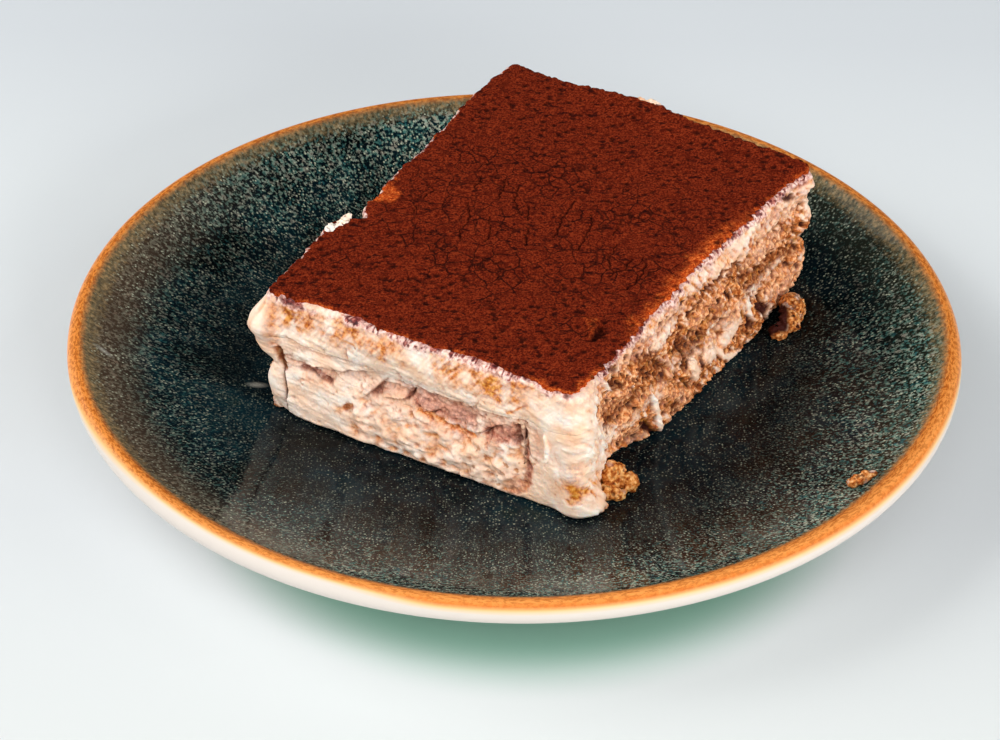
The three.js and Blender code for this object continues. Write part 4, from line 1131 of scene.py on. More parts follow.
# %% [markdown]
# ## Relief of crumb and cream
# Where the map says sponge, broken bubbles are pressed in and crumbs left standing, and the
# bubbles and the gaps between crumbs are painted dark as shade; where it says cream, soft ridges
# follow the knife. The last step compares each place with its surroundings: what lies deeper is
# stained darker, partly as coffee that runs into hollows and partly as painted shade, and the
# ridges are painted paler as highlight.

# %% Add the relief
crumb_near, _, crumb_key = bubbles(SPOTS, 1.15, 41)
hole_near, _, hole_key = bubbles(SPOTS * (1, 1, 1.15), 2.1, 44)
sponge = 1 - face["cream"]
rounded_crumbs = 0.6 * (0.75 - crumb_near) + 0.8 * waves(SPOTS, 3.6, 45, 3)
holes = smoothstep((0.46 - hole_near) / 0.3) * (hole_key > 0.5)
face["out"] += sponge * (1.3 * rounded_crumbs - 1.2 * holes + 0.3 * RAGGED_FINE)
# painted shade: the broken bubbles and the gaps between crumbs are darkened
raise_mask("pit", sponge * (0.6 * holes + 0.35 * smoothstep((crumb_near - 0.6) / 0.25)))
face["soak"] = np.clip(face["soak"] + 0.45 * (crumb_key - 0.5) * sponge, 0, 1)

knife_marks = streaks(-8, 1.4, 9, 51) * on_front * smoothstep((74 - ROUND) / 8)
pulled = streaks(58, 0.9, 5, 53) * on_front * smoothstep((UP - 20) / 4) * smoothstep((70 - ROUND) / 8)
soft = waves(SPOTS, 6.5, 52, 2)
face["out"] += face["cream"] * (0.32 * soft + 0.16 * knife_marks + 0.16 * pulled + 0.06 * RAGGED_FINE)


def blurred(values, radius_mm):
    """A map blurred by a few box averages."""
    width = max(int(radius_mm / ROW_STEP), 1)
    for _ in range(2):
        for axis in (0, 1):
            pad = [(0, 0), (0, 0)]
            pad[axis] = (width + 1, width)
            total = np.cumsum(np.pad(values, pad, mode="edge"), axis=axis)
            high = np.take(total, range(2 * width + 1, total.shape[axis]), axis)
            low = np.take(total, range(total.shape[axis] - 2 * width - 1), axis)
            values = (high - low) / (2 * width + 1)
    return values


hollow = blurred(face["out"], 0.8) - face["out"]
wide_hollow = blurred(face["out"], 2.2) - face["out"]
# painted shade and highlight: what lies deeper is stained darker, and the ridges of cream and sponge are
# painted paler
hollow_shade = np.clip(smoothstep(hollow / 0.30) + 0.6 * smoothstep(wide_hollow / 0.9), 0, 1)
ridge_highlight = np.clip(smoothstep(-hollow / 0.22), 0, 1)
face["stain"] = np.clip(face["stain"] + (0.28 + 0.3 * on_right) * hollow_shade * face["cream"] - 0.3 * ridge_highlight, 0, 1)
face["pit"] = np.clip(face["pit"] + 0.6 * hollow_shade * sponge, 0, 1)
face["soak"] = np.clip(face["soak"] - 0.35 * ridge_highlight * sponge, 0, 1)
print("hollows go down to", hollow.max().round(2), "mm below their surroundings")

# %% Cocoa dust along the top edge, and the rounded rims
face["out"] -= 1.4 * (1 - np.sqrt(np.clip(1 - np.clip((UP - 31.1) / 1.4, 0, 1) ** 2, 0, 1)))
face["out"] -= 1.3 * np.clip((1.1 - UP) / 1.5, 0, 1) ** 2
powder = waves(SPOTS, 0.75, 71, 2)
dip = waves(SPOTS, 6.5, 74, 2)
fringe = between(31.2, 34.9, 1.2, UP + 0.9 * RAGGED + 1.1 * dip)
face["out"] += 0.25 * fringe * waves(SPOTS, 1.3, 72, 2)
raise_mask("wet", 0.42 * fringe * smoothstep((waves(SPOTS, 1.5, 73, 2) + 0.25) / 0.4))
scattered = smoothstep((powder + 0.5 * (UP - 31.9) + 0.7 * RAGGED) / 0.3)
raise_mask("dust", fringe * np.maximum(scattered, 0.3))
face["stain"] *= 1 - 0.8 * fringe
brush("front", [(4.8, 31.2), (7, 31.8), (9.6, 31.6)], 0.9, edge=0.9, rag=0.8, dust=0.9, out=-0.1)
brush("front", [(10.6, 32.4), (14, 32.2), (17.6, 32.6)], 0.9,
      edge=0.7, rag=0.4, dust=0.08, wet=0.1, cream=1, stain=0)
brush("right", [(-4, 33), (1, 33), (6, 32.2)], 1.9, edge=0.7, rag=0.5, dust=0.04, wet=0, cream=1, stain=0.3)
print("relief runs from", face["out"].min().round(1), "to", face["out"].max().round(1), "mm")

# %% [markdown]
# ## Meshes cut from the map
# Each layer is a closed solid: its wall is a strip of the map between two height curves, and its
# top and bottom are plain, because the next layer lies on them. At the near corner the biscuits
# stop short along an arc, and the cream that wraps the corner fills the gap.

# %% Mesh helper, and points of the cut faces
def new_piece(name, points, quads, triangles, material, values, flat_triangles=False):
    """A mesh object from arrays of points in mm and faces, with one float attribute per value."""
    mesh = bpy.data.meshes.new(name)
    loops = np.concatenate([np.asarray(quads, int).ravel(), np.asarray(triangles, int).ravel()])
    sizes = np.concatenate([np.full(len(quads), 4), np.full(len(triangles), 3)])
    mesh.vertices.add(len(points))
    mesh.vertices.foreach_set("co", (np.asarray(points) * MM).ravel())
    mesh.loops.add(len(loops))
    mesh.loops.foreach_set("vertex_index", loops)
    mesh.polygons.add(len(sizes))
    mesh.polygons.foreach_set("loop_start", np.cumsum(sizes) - sizes)
    mesh.polygons.foreach_set("use_smooth", (sizes == 4) | (not flat_triangles))
    mesh.update(calc_edges=True)
    mesh.validate()
    for key, value in values.items():
        mesh.attributes.new(key, "FLOAT", "POINT").data.foreach_set("value", np.asarray(value, np.float32))
    mesh.materials.append(material)
    piece = bpy.data.objects.new(name, mesh)
    scene.collection.objects.link(piece)
    print(name, "has", 2 * len(quads) + len(triangles), "triangles")
    return piece


def sample(name, column, height):
    """A map's value at columns and heights, blended between its rows."""
    row = np.clip((height - rows[0]) / ROW_STEP, 0, len(rows) - 1.001)
    low = row.astype(int)
    part = row - low
    return face[name][low, column] * (1 - part) + face[name][low + 1, column] * part


def wall_points(column, height):
    """Points of the cut faces at columns and heights of the map."""
    reach = sample("out", column, height)
    plan = outline_points[column] + outline_normals[column] * reach[..., None]
    return in_slice(plan, height)


# %% Solids from stacks of rings
def ring_solid(rings, values, bottom, top):
    """Closes a stack of rings with fans; returns points, quads, triangles and padded values."""
    count = rings.shape[1]
    steps = np.arange(count)
    following = (steps + 1) % count
    quads = []
    for k in range(len(rings) - 1):
        low, high = k * count, (k + 1) * count
        quads.append(np.column_stack([low + steps, low + following, high + following, high + steps]))
    points = np.concatenate([rings.reshape(-1, 3), [bottom, top]])
    last = (len(rings) - 1) * count
    floor_centre, top_centre = len(points) - 2, len(points) - 1
    triangles = np.concatenate([
        np.column_stack([np.full(count, floor_centre), following, steps]),
        np.column_stack([np.full(count, top_centre), last + steps, last + following]),
    ])
    padded = {key: np.concatenate([value.ravel(), [value.mean()] * 2]) for key, value in values.items()}
    return points, np.concatenate(quads), triangles, padded


# %% Biscuit and cream layers, cut short at the near corner
CORNER_CREAM_RADIUS = 12.6
ARC_COLUMN_STEP = 12
corner_gap = gaps_round("right", 0)


def layer_solid(name, material, lower, upper):
    """One layer of the slice between two height curves, as a closed piece cut short at the corner."""
    picked = np.arange(len(columns))
    outside = np.abs(corner_gap) > CORNER_CREAM_RADIUS - 0.5
    picked = picked[outside | (picked % ARC_COLUMN_STEP == 0)]
    steps = int(np.ceil((upper - lower).max() / ROW_STEP))
    t = np.linspace(0, 1, steps + 1)[:, None]
    height = lower[picked] * (1 - t) + upper[picked] * t
    grid = np.broadcast_to(picked, height.shape)
    points = wall_points(grid, height)
    arc = np.abs(corner_gap[picked]) <= CORNER_CREAM_RADIUS - 0.5
    share = (corner_gap[picked][arc] / CORNER_CREAM_RADIUS + 1) / 2
    back_along_front = np.arctan2(*(-DIRECTIONS[0])[::-1])
    along_right = np.arctan2(*DIRECTIONS[1][::-1])
    angle = back_along_front + (along_right - back_along_front) * share
    plan = CORNERS[1] + (CORNER_CREAM_RADIUS - 0.9) * np.column_stack([np.cos(angle), np.sin(angle)])
    for k in range(len(height)):
        points[k, arc] = in_slice(plan, height[k, arc])
    values = {key: sample(key, grid, height) for key in MASKS}
    low_middle = in_slice(MIDDLE, lower.mean())
    high_middle = in_slice(MIDDLE, upper.mean())
    points, quads, triangles, values = ring_solid(points, values, low_middle, high_middle)
    return new_piece(name, points, quads, triangles, material, values, flat_triangles=True)


# %% [markdown]
# ## Materials of the cut faces
# Ladyfinger sponge is matt, tan and full of air; where it drank coffee it is darker, glossier and
# cooler. Mascarpone cream is a soft ivory that lets a little light in and shines like satin. The
# three materials read the same masks, because each layer carries smears of the others.

# %% Tones of the food, from the grain's low to its high
# The air cells of real sponge are finer than these tones' 0.9 mm grain, which is drawn as coarse as
# it needs to show.
GRAIN_MM = 0.9
FOOD_TONES = {
    "dry": [(0.34, "94430F"), (0.5, "D88242"), (0.66, "FFC894")],
    "soaked": [(0.34, "3C1206"), (0.5, "783416"), (0.66, "B46434")],
    "ivory": [(0.34, "FAD2B4"), (0.5, "FEE2CE"), (0.66, "FFF4EA")],
    "toast": [(0.35, "A44A18"), (0.5, "DE8438"), (0.65, "F6B478")],
    "syrup": [(0.34, "A2540E"), (0.5, "CE8020"), (0.64, "EAAA50")],
    "plum": [(0.32, "8A3C2A"), (0.5, "C4745C"), (0.68, "ECAA90")],
    "veil": [(0.36, "9A5E5A"), (0.48, "D0A29C"), (0.6, "F2D8D6")],
    "powder": [(0.35, "3E1216"), (0.5, "7A3230"), (0.65, "BC7466")],
}
# the darkest brown, for specks and for painted shade in holes, creases and gaps
SPECKS_AND_SHADE_TONE = "380F06"
print("food tones:", list(FOOD_TONES))


# %% One recipe for the three materials
def cut_face(name, settings, toasted=FOOD_TONES["toast"]):
    """Food material that blends sponge, coffee, cream, stains and cocoa by the piece's masks."""
    material, tree, shader = new_material(name, settings)
    mask = {key: add_node(tree, "ShaderNodeAttribute", None, "Fac", attribute_name=key) for key in MASKS}
    spot = add_node(tree, "ShaderNodeTexCoord", output="Object")
    grain = add_node(tree, "ShaderNodeTexNoise", {
        "Vector": spot, "Scale": per_mm(GRAIN_MM), "Detail": 3.0,
    }, "Fac")
    patches = add_node(tree, "ShaderNodeTexNoise", {
        "Vector": spot, "Scale": per_mm(5.5), "Detail": 3.0,
    }, "Fac")
    tone = {}
    for key, stops in {**FOOD_TONES, "toast": toasted}.items():
        tone[key] = add_node(tree, "ShaderNodeValToRGB", {
            "Fac": patches if key == "ivory" else grain,
        }, stops=stops)
    syrup = add_node(tree, "ShaderNodeMath", {0: mask["stain"], 1: mask["soak"]}, operation="MULTIPLY")
    syrup = add_node(tree, "ShaderNodeMapRange", {
        "Value": syrup, "From Min": 0.35, "From Max": 0.95, "To Max": 0.88,
    })
    # where cocoa dust lies thin, cream turns pale lilac: partly thin dust, partly a painted cool sheen
    dust_haze_and_sheen = add_node(tree, "ShaderNodeMapRange", {"Value": mask["dust"], "From Max": 0.3, "To Max": 0.7})
    crumbs = add_node(tree, "ShaderNodeMapRange", {"Value": mask["dust"], "From Min": 0.32, "From Max": 0.9})
    colour = tone["dry"]
    for cover, over in (
        (mask["soak"], tone["soaked"]), (mask["cream"], tone["ivory"]), (mask["stain"], tone["toast"]),
        (syrup, tone["syrup"]), (mask["wet"], tone["plum"]), (mask["pit"], SPECKS_AND_SHADE_TONE),
        (dust_haze_and_sheen, tone["veil"]), (crumbs, tone["powder"]),
    ):
        colour = add_node(tree, "ShaderNodeMix", {0: cover, MIX_A: colour, MIX_B: over}, **COLOUR_MIX)
    tree.links.new(colour, shader.inputs["Base Color"])
    satin = add_node(tree, "ShaderNodeMapRange", {"Value": mask["cream"], "To Min": 0.75, "To Max": 0.5})
    gloss = add_node(tree, "ShaderNodeMapRange", {"Value": mask["wet"], "To Max": 0.25})
    roughness = add_node(tree, "ShaderNodeMath", {0: satin, 1: gloss}, operation="SUBTRACT")
    tree.links.new(roughness, shader.inputs["Roughness"])
    fine = add_node(tree, "ShaderNodeTexNoise", {"Vector": spot, "Scale": per_mm(0.55), "Detail": 3.0}, "Fac")
    bump = add_node(tree, "ShaderNodeBump", {"Height": fine, "Strength": 0.5, "Distance": 0.25 * MM})
    tree.links.new(bump, shader.inputs["Normal"])
    return material


CREAM_GLOW = {
    "Subsurface Weight": 0.25, "Subsurface Radius": (1.0, 0.55, 0.3), "Subsurface Scale": 1.2 * MM,
    "IOR": 1.45, "Specular IOR Level": 0.36,
}
SPONGE_GLOW = {
    "Subsurface Weight": 0.1, "Subsurface Radius": (1.0, 0.5, 0.25), "Subsurface Scale": 0.8 * MM,
    "IOR": 1.4, "Specular IOR Level": 0.25,
}
mascarpone = cut_face("whipped mascarpone cream", CREAM_GLOW)
ladyfinger = cut_face("ladyfinger sponge", SPONGE_GLOW)
soaked_ladyfinger = cut_face("coffee-soaked ladyfinger sponge", SPONGE_GLOW)
print("each food material has", len(mascarpone.node_tree.nodes), "nodes")

# %% Build the layers
base = np.zeros(len(columns))
for name, material, lower, upper, node, slot in (
    ("lower_sponge", ladyfinger, base, lower_top, "sponge_lower", "sponge"),
    ("middle_cream", mascarpone, lower_top, middle_top, "cream_middle", "cream"),
    ("upper_sponge", soaked_ladyfinger, middle_top, upper_top, "sponge_upper", "soaked_sponge"),
):
    piece = layer_solid(name, material, lower, upper)
    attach(piece, "root")
    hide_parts(node)


# %% Thick cream, and the column of cream at the near corner
CREAM_LEVEL = 32.3
CORNER_BACK_STEPS = 10


def corner_solid():
    """The cream that wraps the near corner, from the plate up to the thick cream."""
    picked = np.flatnonzero(np.abs(corner_gap) <= CORNER_CREAM_RADIUS + 0.35)
    steps = int(np.ceil(upper_top[picked].max() / ROW_STEP))
    t = np.linspace(0, 1, steps + 1)[:, None]
    height = upper_top[picked] * t
    outer = wall_points(np.broadcast_to(picked, height.shape), height)
    start, end = outline_points[picked[-1]], outline_points[picked[0]]
    share = np.linspace(0, 1, CORNER_BACK_STEPS + 2)[1:-1, None]
    inwards = (MIDDLE - CORNERS[1]) / np.linalg.norm(MIDDLE - CORNERS[1])
    inner_plan = start + (end - start) * share + inwards * (4 * np.sin(np.pi * share) - 0.6)
    inner = np.stack([in_slice(inner_plan, h.mean()) for h in height])
    rings = np.concatenate([outer, inner], axis=1)
    values = {}
    for key in MASKS:
        value = sample(key, np.broadcast_to(picked, height.shape), height)
        values[key] = np.concatenate([value, np.zeros((len(height), CORNER_BACK_STEPS))], axis=1)
    inside = (outline_points[picked[len(picked) // 2]] + MIDDLE * 0.12) / 1.12
    bottom = in_slice(inside, 0.0)
    top = in_slice(inside, upper_top[picked].mean())
    return ring_solid(rings, values, bottom, top)


def top_cream_solid():
    """The thick cream above the biscuits, rounded over at its rim."""
    steps = int(np.ceil((CREAM_LEVEL - upper_top).max() / (1.15 * ROW_STEP)))
    t = np.linspace(0, 1, steps + 1)[:, None]
    height = upper_top * (1 - t) + CREAM_LEVEL * t
    grid = np.broadcast_to(np.arange(len(columns)), height.shape)
    points = wall_points(grid, height)
    inner = MIDDLE + 0.9 * (points[-1, :, :2] - MIDDLE)
    lid = in_slice(inner, CREAM_LEVEL - 0.3)
    points = np.concatenate([points, lid[None]])
    values = {key: sample(key, grid, height) for key in MASKS}
    values = {key: np.concatenate([value, value[-1:]]) for key, value in values.items()}
    low_middle = in_slice(MIDDLE, upper_top.mean())
    high_middle = in_slice(MIDDLE, CREAM_LEVEL - 0.3)
    return ring_solid(points, values, low_middle, high_middle)


corner, band = corner_solid(), top_cream_solid()
points = np.concatenate([band[0], corner[0]])
quads = np.concatenate([band[1], corner[1] + len(band[0])])
triangles = np.concatenate([band[2], corner[2] + len(band[0])])
values = {key: np.concatenate([band[3][key], corner[3][key]]) for key in MASKS}
top_cream = new_piece("top_cream", points, quads, triangles, mascarpone, values, flat_triangles=True)
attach(top_cream, "root")
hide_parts("cream_top")

# %% [markdown]
# ## Cocoa
# Cocoa powder is sieved over the cream. It drinks moisture, shrinks and cracks like drying mud,
# most of all in the middle, and along the cut edge it is dragged thin so that the cream glows
# through it orange. The skin is a fine grid draped over the slice: lumps and cracks are real
# relief, the powder's grain is bump. Cocoa powder is matt and has no shine at all. Its real
# grains are about 0.05 mm; they are drawn as clumps of 0.5 mm and more, so that they show.

# %% Grid of the cocoa skin
COCOA_ACROSS, COCOA_BACK = 262, 346
COCOA_TOP = 33.0
COCOA_FOOT = 31.4
COCOA_DEPTH_MM = 105.0


def rim_points(distance, depth):
    """The cocoa's edge in plan; it stops short of the cut edge, raggedly, by about a depth."""
    point, normal = outline(distance)
    spots = np.column_stack([point, np.zeros(len(point))])
    inset = depth + 0.45 * waves(spots, 2.6, 81, 3) + 0.25 * waves(spots, 0.9, 82, 1)
    column = np.searchsorted(columns, np.mod(distance, PERIMETER)).clip(0, len(columns) - 1)
    reach = sample("out", column, np.full(column.shape, COCOA_FOOT))
    return point + normal * (reach - inset)[:, None]


# the depth in mm, at places along the front and the right cut
FRONT_INSETS = [
    (0, 0.2), (9, 0.2), (12, 1.1), (17, 1.1), (21, 2.1), (24, 2.0), (28, 0.8), (43, 0.8), (47, 1.7),
    (57, 1.8), (61, 1.0), (68, 0.9), (72, 0.4), (76, 1.6), (79, 3.2),
]
RIGHT_INSETS = [(0, 3.2), (4, 2.6), (8, 1.4), (12, 0.8), (105, 0.8)]
HIDDEN_INSET = 0.6
u = np.linspace(0, 1, COCOA_ACROSS)
v = np.linspace(0, 1, COCOA_BACK)
front_depth = np.interp(u * LENGTHS[0], *zip(*FRONT_INSETS))
right_depth = np.interp(v * LENGTHS[1], *zip(*RIGHT_INSETS))
front_edge = rim_points(u * LENGTHS[0], front_depth)
right_edge = rim_points(STARTS[1] + v * LENGTHS[1], right_depth)
back_edge = rim_points(STARTS[2] + (1 - u) * LENGTHS[2], HIDDEN_INSET)
rear_edge = rim_points(STARTS[3] + (1 - v) * LENGTHS[3], HIDDEN_INSET)
front_edge[0], front_edge[-1] = rear_edge[0], right_edge[0]
back_edge[0], back_edge[-1] = rear_edge[-1], right_edge[-1]
U, V = np.meshgrid(u, v)
U3, V3 = U[..., None], V[..., None]
PLAN = (
    front_edge[None] * (1 - V3) + back_edge[None] * V3
    + rear_edge[:, None] * (1 - U3) + right_edge[:, None] * U3
    - front_edge[0] * (1 - U3) * (1 - V3) - front_edge[-1] * U3 * (1 - V3)
    - back_edge[0] * (1 - U3) * V3 - back_edge[-1] * U3 * V3
)
TOP_SPOTS = np.concatenate([PLAN, np.zeros(PLAN.shape[:2] + (1,))], axis=-1)
across, back = U * LENGTHS[0], V * COCOA_DEPTH_MM
from_edge = np.minimum(
    np.minimum(across, (1 - U) * LENGTHS[2]), np.minimum(V * LENGTHS[3], (1 - V) * LENGTHS[1]),
)
print("cocoa grid spacing is", round(LENGTHS[1] / COCOA_BACK, 2), "mm")

# %% Relief of the cocoa
cocoa_height = np.full(U.shape, COCOA_TOP)
cocoa_height += 0.28 * waves(TOP_SPOTS, 14, 83, 2) + 0.09 * waves(TOP_SPOTS, 2.0, 84, 2)
cocoa_height += 0.07 * waves(TOP_SPOTS, 0.9, 85, 1)
piled = smoothstep(1 - (1 - V) * LENGTHS[1] / 9) * smoothstep((U - 0.18) / 0.2)
cocoa_height += 0.95 * piled * (1 + 0.25 * waves(TOP_SPOTS, 5, 98, 2))
clod_near, _, clod_key = bubbles(TOP_SPOTS, 2.1, 86)
clods = smoothstep((0.44 - clod_near) / 0.22) * (clod_key > 0.5)
clods *= smoothstep((np.abs(V - 0.47) - 0.08 + 0.12 * waves(TOP_SPOTS, 9, 95, 2)) / 0.1)
cocoa_height -= 0.28 * clods * smoothstep(from_edge / 3)
cocoa_height -= 0.85 * (1 - smoothstep((from_edge + 0.1) / 1.3)) ** 1.5
print("cocoa is up to", (cocoa_height.max() - COCOA_TOP).round(1), "mm thicker than its mean")

# %% Cracks of the cocoa
# each crack is a path of places: share of the way across and back
MAIN_CRACKS = [
    [(.235, .575), (.25, .55), (.253, .52)], [(.30, .585), (.32, .56), (.335, .53), (.336, .515)],
    [(.355, .58), (.38, .54), (.41, .505), (.44, .49)], [(.43, .53), (.45, .50), (.46, .48)],
    [(.53, .60), (.545, .55), (.555, .51), (.57, .46)],
    [(.61, .57), (.64, .54), (.648, .50), (.655, .465), (.66, .44)],
    [(.70, .58), (.72, .53)], [(.485, .46), (.495, .43), (.51, .40)],
    [(.36, .45), (.38, .42), (.40, .39), (.405, .37)],
    [(.27, .47), (.30, .43), (.31, .39), (.33, .35)],
    [(.75, .51), (.745, .47), (.77, .44), (.80, .42), (.82, .44), (.815, .48)],
    [(.80, .42), (.795, .40)], [(.84, .50), (.87, .47), (.875, .43), (.87, .38), (.85, .37)],
    [(.125, .49), (.15, .48), (.14, .44), (.10, .45)], [(.135, .41), (.145, .385)], [(.945, .38), (.91, .36)],
]
wander = 0.35 * waves(TOP_SPOTS, 2.4, 87, 2)
x, y = across + wander, back - wander
crack = np.zeros(U.shape)
for path in MAIN_CRACKS:
    places = np.array(path) * (LENGTHS[0], COCOA_DEPTH_MM)
    for a, b in zip(places[:-1], places[1:]):
        run = b - a
        t = np.clip(((x - a[0]) * run[0] + (y - a[1]) * run[1]) / (run @ run), 0, 1)
        gap = np.hypot(x - a[0] - t * run[0], y - a[1] - t * run[1])
        crack = np.maximum(crack, smoothstep((0.34 - gap) / 0.3))
cracking = waves(TOP_SPOTS, 12, 90, 2)
parched = smoothstep((0.36 - np.abs(V - 0.46) + 0.12 * cracking) / 0.2) * smoothstep(from_edge / 7)
parched = np.clip(parched * (0.75 + 0.8 * cracking), 0, 1)
cocoa_height -= 0.4 * crack
print("cocoa has", len(MAIN_CRACKS), "main cracks, over", (crack > 0.5).mean().round(3), "of its top")

# %% One flake of cocoa stands up near the right cut, with its cavity beside it
FLAKE = np.array([(0.832, 0.247), (0.886, 0.258), (0.897, 0.188)]) * (LENGTHS[0], COCOA_DEPTH_MM)
x, y = across + 0.3 * wander, back - 0.3 * wander
inside = np.full(U.shape, 9.0)
for a, b in zip(FLAKE, np.roll(FLAKE, -1, axis=0)):
    run = (b - a) / np.linalg.norm(b - a)
    inside = np.minimum(inside, run[1] * (x - a[0]) - run[0] * (y - a[1]))
flake = smoothstep(inside / 0.35)
from_cavity = np.hypot(x - FLAKE[2][0] - 0.2, (y - FLAKE[2][1] - 3.6) / 2.6)
cavity = smoothstep((1.5 - from_cavity) / 0.7) * (1 - flake)
cocoa_height += 0.7 * flake - 0.6 * cavity
crack = np.maximum(crack * (1 - flake), 0.95 * cavity)
print("the flake stands", (0.7 * flake).max().round(1), "mm up")

# %% Where the cocoa is thin: along its edge, at the notch, at the right cut and the near corner
thin = 0.6 * smoothstep((0.6 - from_edge + 0.9 * waves(TOP_SPOTS, 2.2, 91, 3)) / 0.9)
to_right = (1 - U) * LENGTHS[0]
right_dusting = smoothstep((4.6 - to_right + 1.6 * waves(TOP_SPOTS, 4, 92, 3)) / 3.2)
right_dusting *= smoothstep((V - 0.2) / 0.15) * smoothstep((0.82 - V) / 0.2)
right_dusting *= 0.75 + 0.8 * waves(TOP_SPOTS, 1.6, 96, 2)
to_notch = np.hypot(across, (V - 0.41) * COCOA_DEPTH_MM)
notch_dusting = smoothstep((6.5 - to_notch + 3 * waves(TOP_SPOTS, 3, 93, 3)) / 3)
notch_dusting *= smoothstep((V - 0.36 - 0.35 * U) / 0.02) * (0.7 + 0.5 * waves(TOP_SPOTS, 1.6, 97, 2))
thin = np.clip(np.maximum(thin, np.maximum(right_dusting, 1.2 * notch_dusting)), 0, 1)
thin = np.maximum(thin, 0.22 * flake)
corner_dusting = smoothstep((3.4 - from_edge + 1.6 * waves(TOP_SPOTS, 2.4, 99, 3)) / 2.4)
corner_dusting *= smoothstep((15 - np.hypot(to_right, back)) / 7)
thin = np.maximum(thin, 0.85 * corner_dusting)
print("cocoa is thin on", (thin > 0.4).mean().round(3), "of its top")

# %% Cocoa material
cocoa_material, tree, shader = new_material("sieved cocoa powder", {
    "Roughness": 1.0, "Specular IOR Level": 0.05,
})
spot = add_node(tree, "ShaderNodeTexCoord", output="Object")
powder = add_node(tree, "ShaderNodeTexNoise", {
    "Vector": spot, "Scale": per_mm(0.5), "Detail": 3.0, "Roughness": 0.75,
}, "Fac")
brown = add_node(tree, "ShaderNodeValToRGB", {"Fac": powder}, stops=[
    (0.34, "3A0A04"), (0.46, "5C1808"), (0.54, "782711"), (0.68, "943C1C"),
])
clumps = add_node(tree, "ShaderNodeTexNoise", {
    "Vector": spot, "Scale": per_mm(2.4), "Detail": 3.0, "Roughness": 0.6,
}, "Fac")
dark_clumps = add_node(tree, "ShaderNodeMapRange", {
    "Value": clumps, "From Min": 0.48, "From Max": 0.36, "To Max": 0.55,
})
clumped = add_node(tree, "ShaderNodeMix", {0: dark_clumps, MIX_A: brown, MIX_B: "460E04"}, **COLOUR_MIX)
drawn = add_node(tree, "ShaderNodeVectorMath", {0: spot, 1: (0.55, 1, 1)}, operation="MULTIPLY")
specks = add_node(tree, "ShaderNodeTexNoise", {
    "Vector": drawn, "Scale": per_mm(1.3), "Detail": 2.0, "Roughness": 0.7,
}, "Fac")
specks = add_node(tree, "ShaderNodeMapRange", {
    "Value": specks, "From Min": 0.42, "From Max": 0.34, "To Max": 0.85,
})
clumped = add_node(tree, "ShaderNodeMix", {0: specks, MIX_A: clumped, MIX_B: "220505"}, **COLOUR_MIX)
mask = {
    key: add_node(tree, "ShaderNodeAttribute", None, "Fac", attribute_name=key)
    for key in ("thin", "crack", "parched")
}
glow = add_node(tree, "ShaderNodeValToRGB", {"Fac": powder}, stops=[
    (0.36, "86240A"), (0.5, "C04A18"), (0.64, "EA823C"),
])
dusted = add_node(tree, "ShaderNodeMix", {0: mask["thin"], MIX_A: clumped, MIX_B: glow}, **COLOUR_MIX)
wobble = add_node(tree, "ShaderNodeTexNoise", {"Vector": spot, "Scale": per_mm(2.5), "Detail": 2.0}, "Color")
wobble = add_node(tree, "ShaderNodeVectorMath", {0: wobble, "Scale": 1.6 * MM}, operation="SCALE")
bent = add_node(tree, "ShaderNodeVectorMath", {0: spot, 1: wobble})
to_edge = add_node(tree, "ShaderNodeTexVoronoi", {
    "Vector": bent, "Scale": per_mm(4.6),
}, "Distance", feature="DISTANCE_TO_EDGE")
hairline = add_node(tree, "ShaderNodeMapRange", {"Value": to_edge, "From Min": 0.045, "From Max": 0.012})
web = add_node(tree, "ShaderNodeMath", {0: hairline, 1: mask["parched"]}, operation="MULTIPLY")
all_cracks = add_node(tree, "ShaderNodeMath", {0: mask["crack"], 1: web}, operation="MAXIMUM")
blackened = add_node(tree, "ShaderNodeMath", {0: all_cracks, 1: 0.85}, operation="MULTIPLY")
cracked = add_node(tree, "ShaderNodeMix", {0: blackened, MIX_A: dusted, MIX_B: "1E0604"}, **COLOUR_MIX)
tree.links.new(cracked, shader.inputs["Base Color"])
relief = add_node(tree, "ShaderNodeMath", {0: powder, 1: all_cracks}, operation="SUBTRACT")
bump = add_node(tree, "ShaderNodeBump", {"Height": relief, "Strength": 0.75, "Distance": 0.3 * MM})
tree.links.new(bump, shader.inputs["Normal"])
print("cocoa material has", len(tree.nodes), "nodes")

# %% Cocoa piece: the draped grid, a skirt round its rim and a fan underneath
COCOA_UNDERSIDE = 31.2
surface = in_slice(PLAN, cocoa_height)
index = np.arange(COCOA_ACROSS * COCOA_BACK).reshape(COCOA_BACK, COCOA_ACROSS)
quads = np.column_stack([
    index[:-1, :-1].ravel(), index[:-1, 1:].ravel(), index[1:, 1:].ravel(), index[1:, :-1].ravel(),
])
rim = np.concatenate([index[0, :-1], index[:-1, -1], index[-1, :0:-1], index[:0:-1, 0]])
lowered = in_slice(PLAN.reshape(-1, 2)[rim], COCOA_UNDERSIDE)
under_middle = in_slice(MIDDLE, COCOA_UNDERSIDE + 0.4)
points = np.concatenate([surface.reshape(-1, 3), lowered, [under_middle]])
under = index.size + np.arange(len(rim))
skirt = np.column_stack([under, np.roll(under, -1), np.roll(rim, -1), rim])
fan = np.column_stack([np.full(len(rim), len(points) - 1), np.roll(under, -1), under])
pad = len(rim) + 1
values = {
    "thin": np.concatenate([thin.ravel(), np.full(pad, 0.3)]),
    "crack": np.concatenate([np.maximum(crack, 0.9 * clods).ravel(), np.zeros(pad)]),
    "parched": np.concatenate([parched.ravel(), np.zeros(pad)]),
}
cocoa = new_piece("cocoa_skin", points, np.concatenate([quads, skirt]), fan, cocoa_material, values)
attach(cocoa, "root")
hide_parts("cocoa")

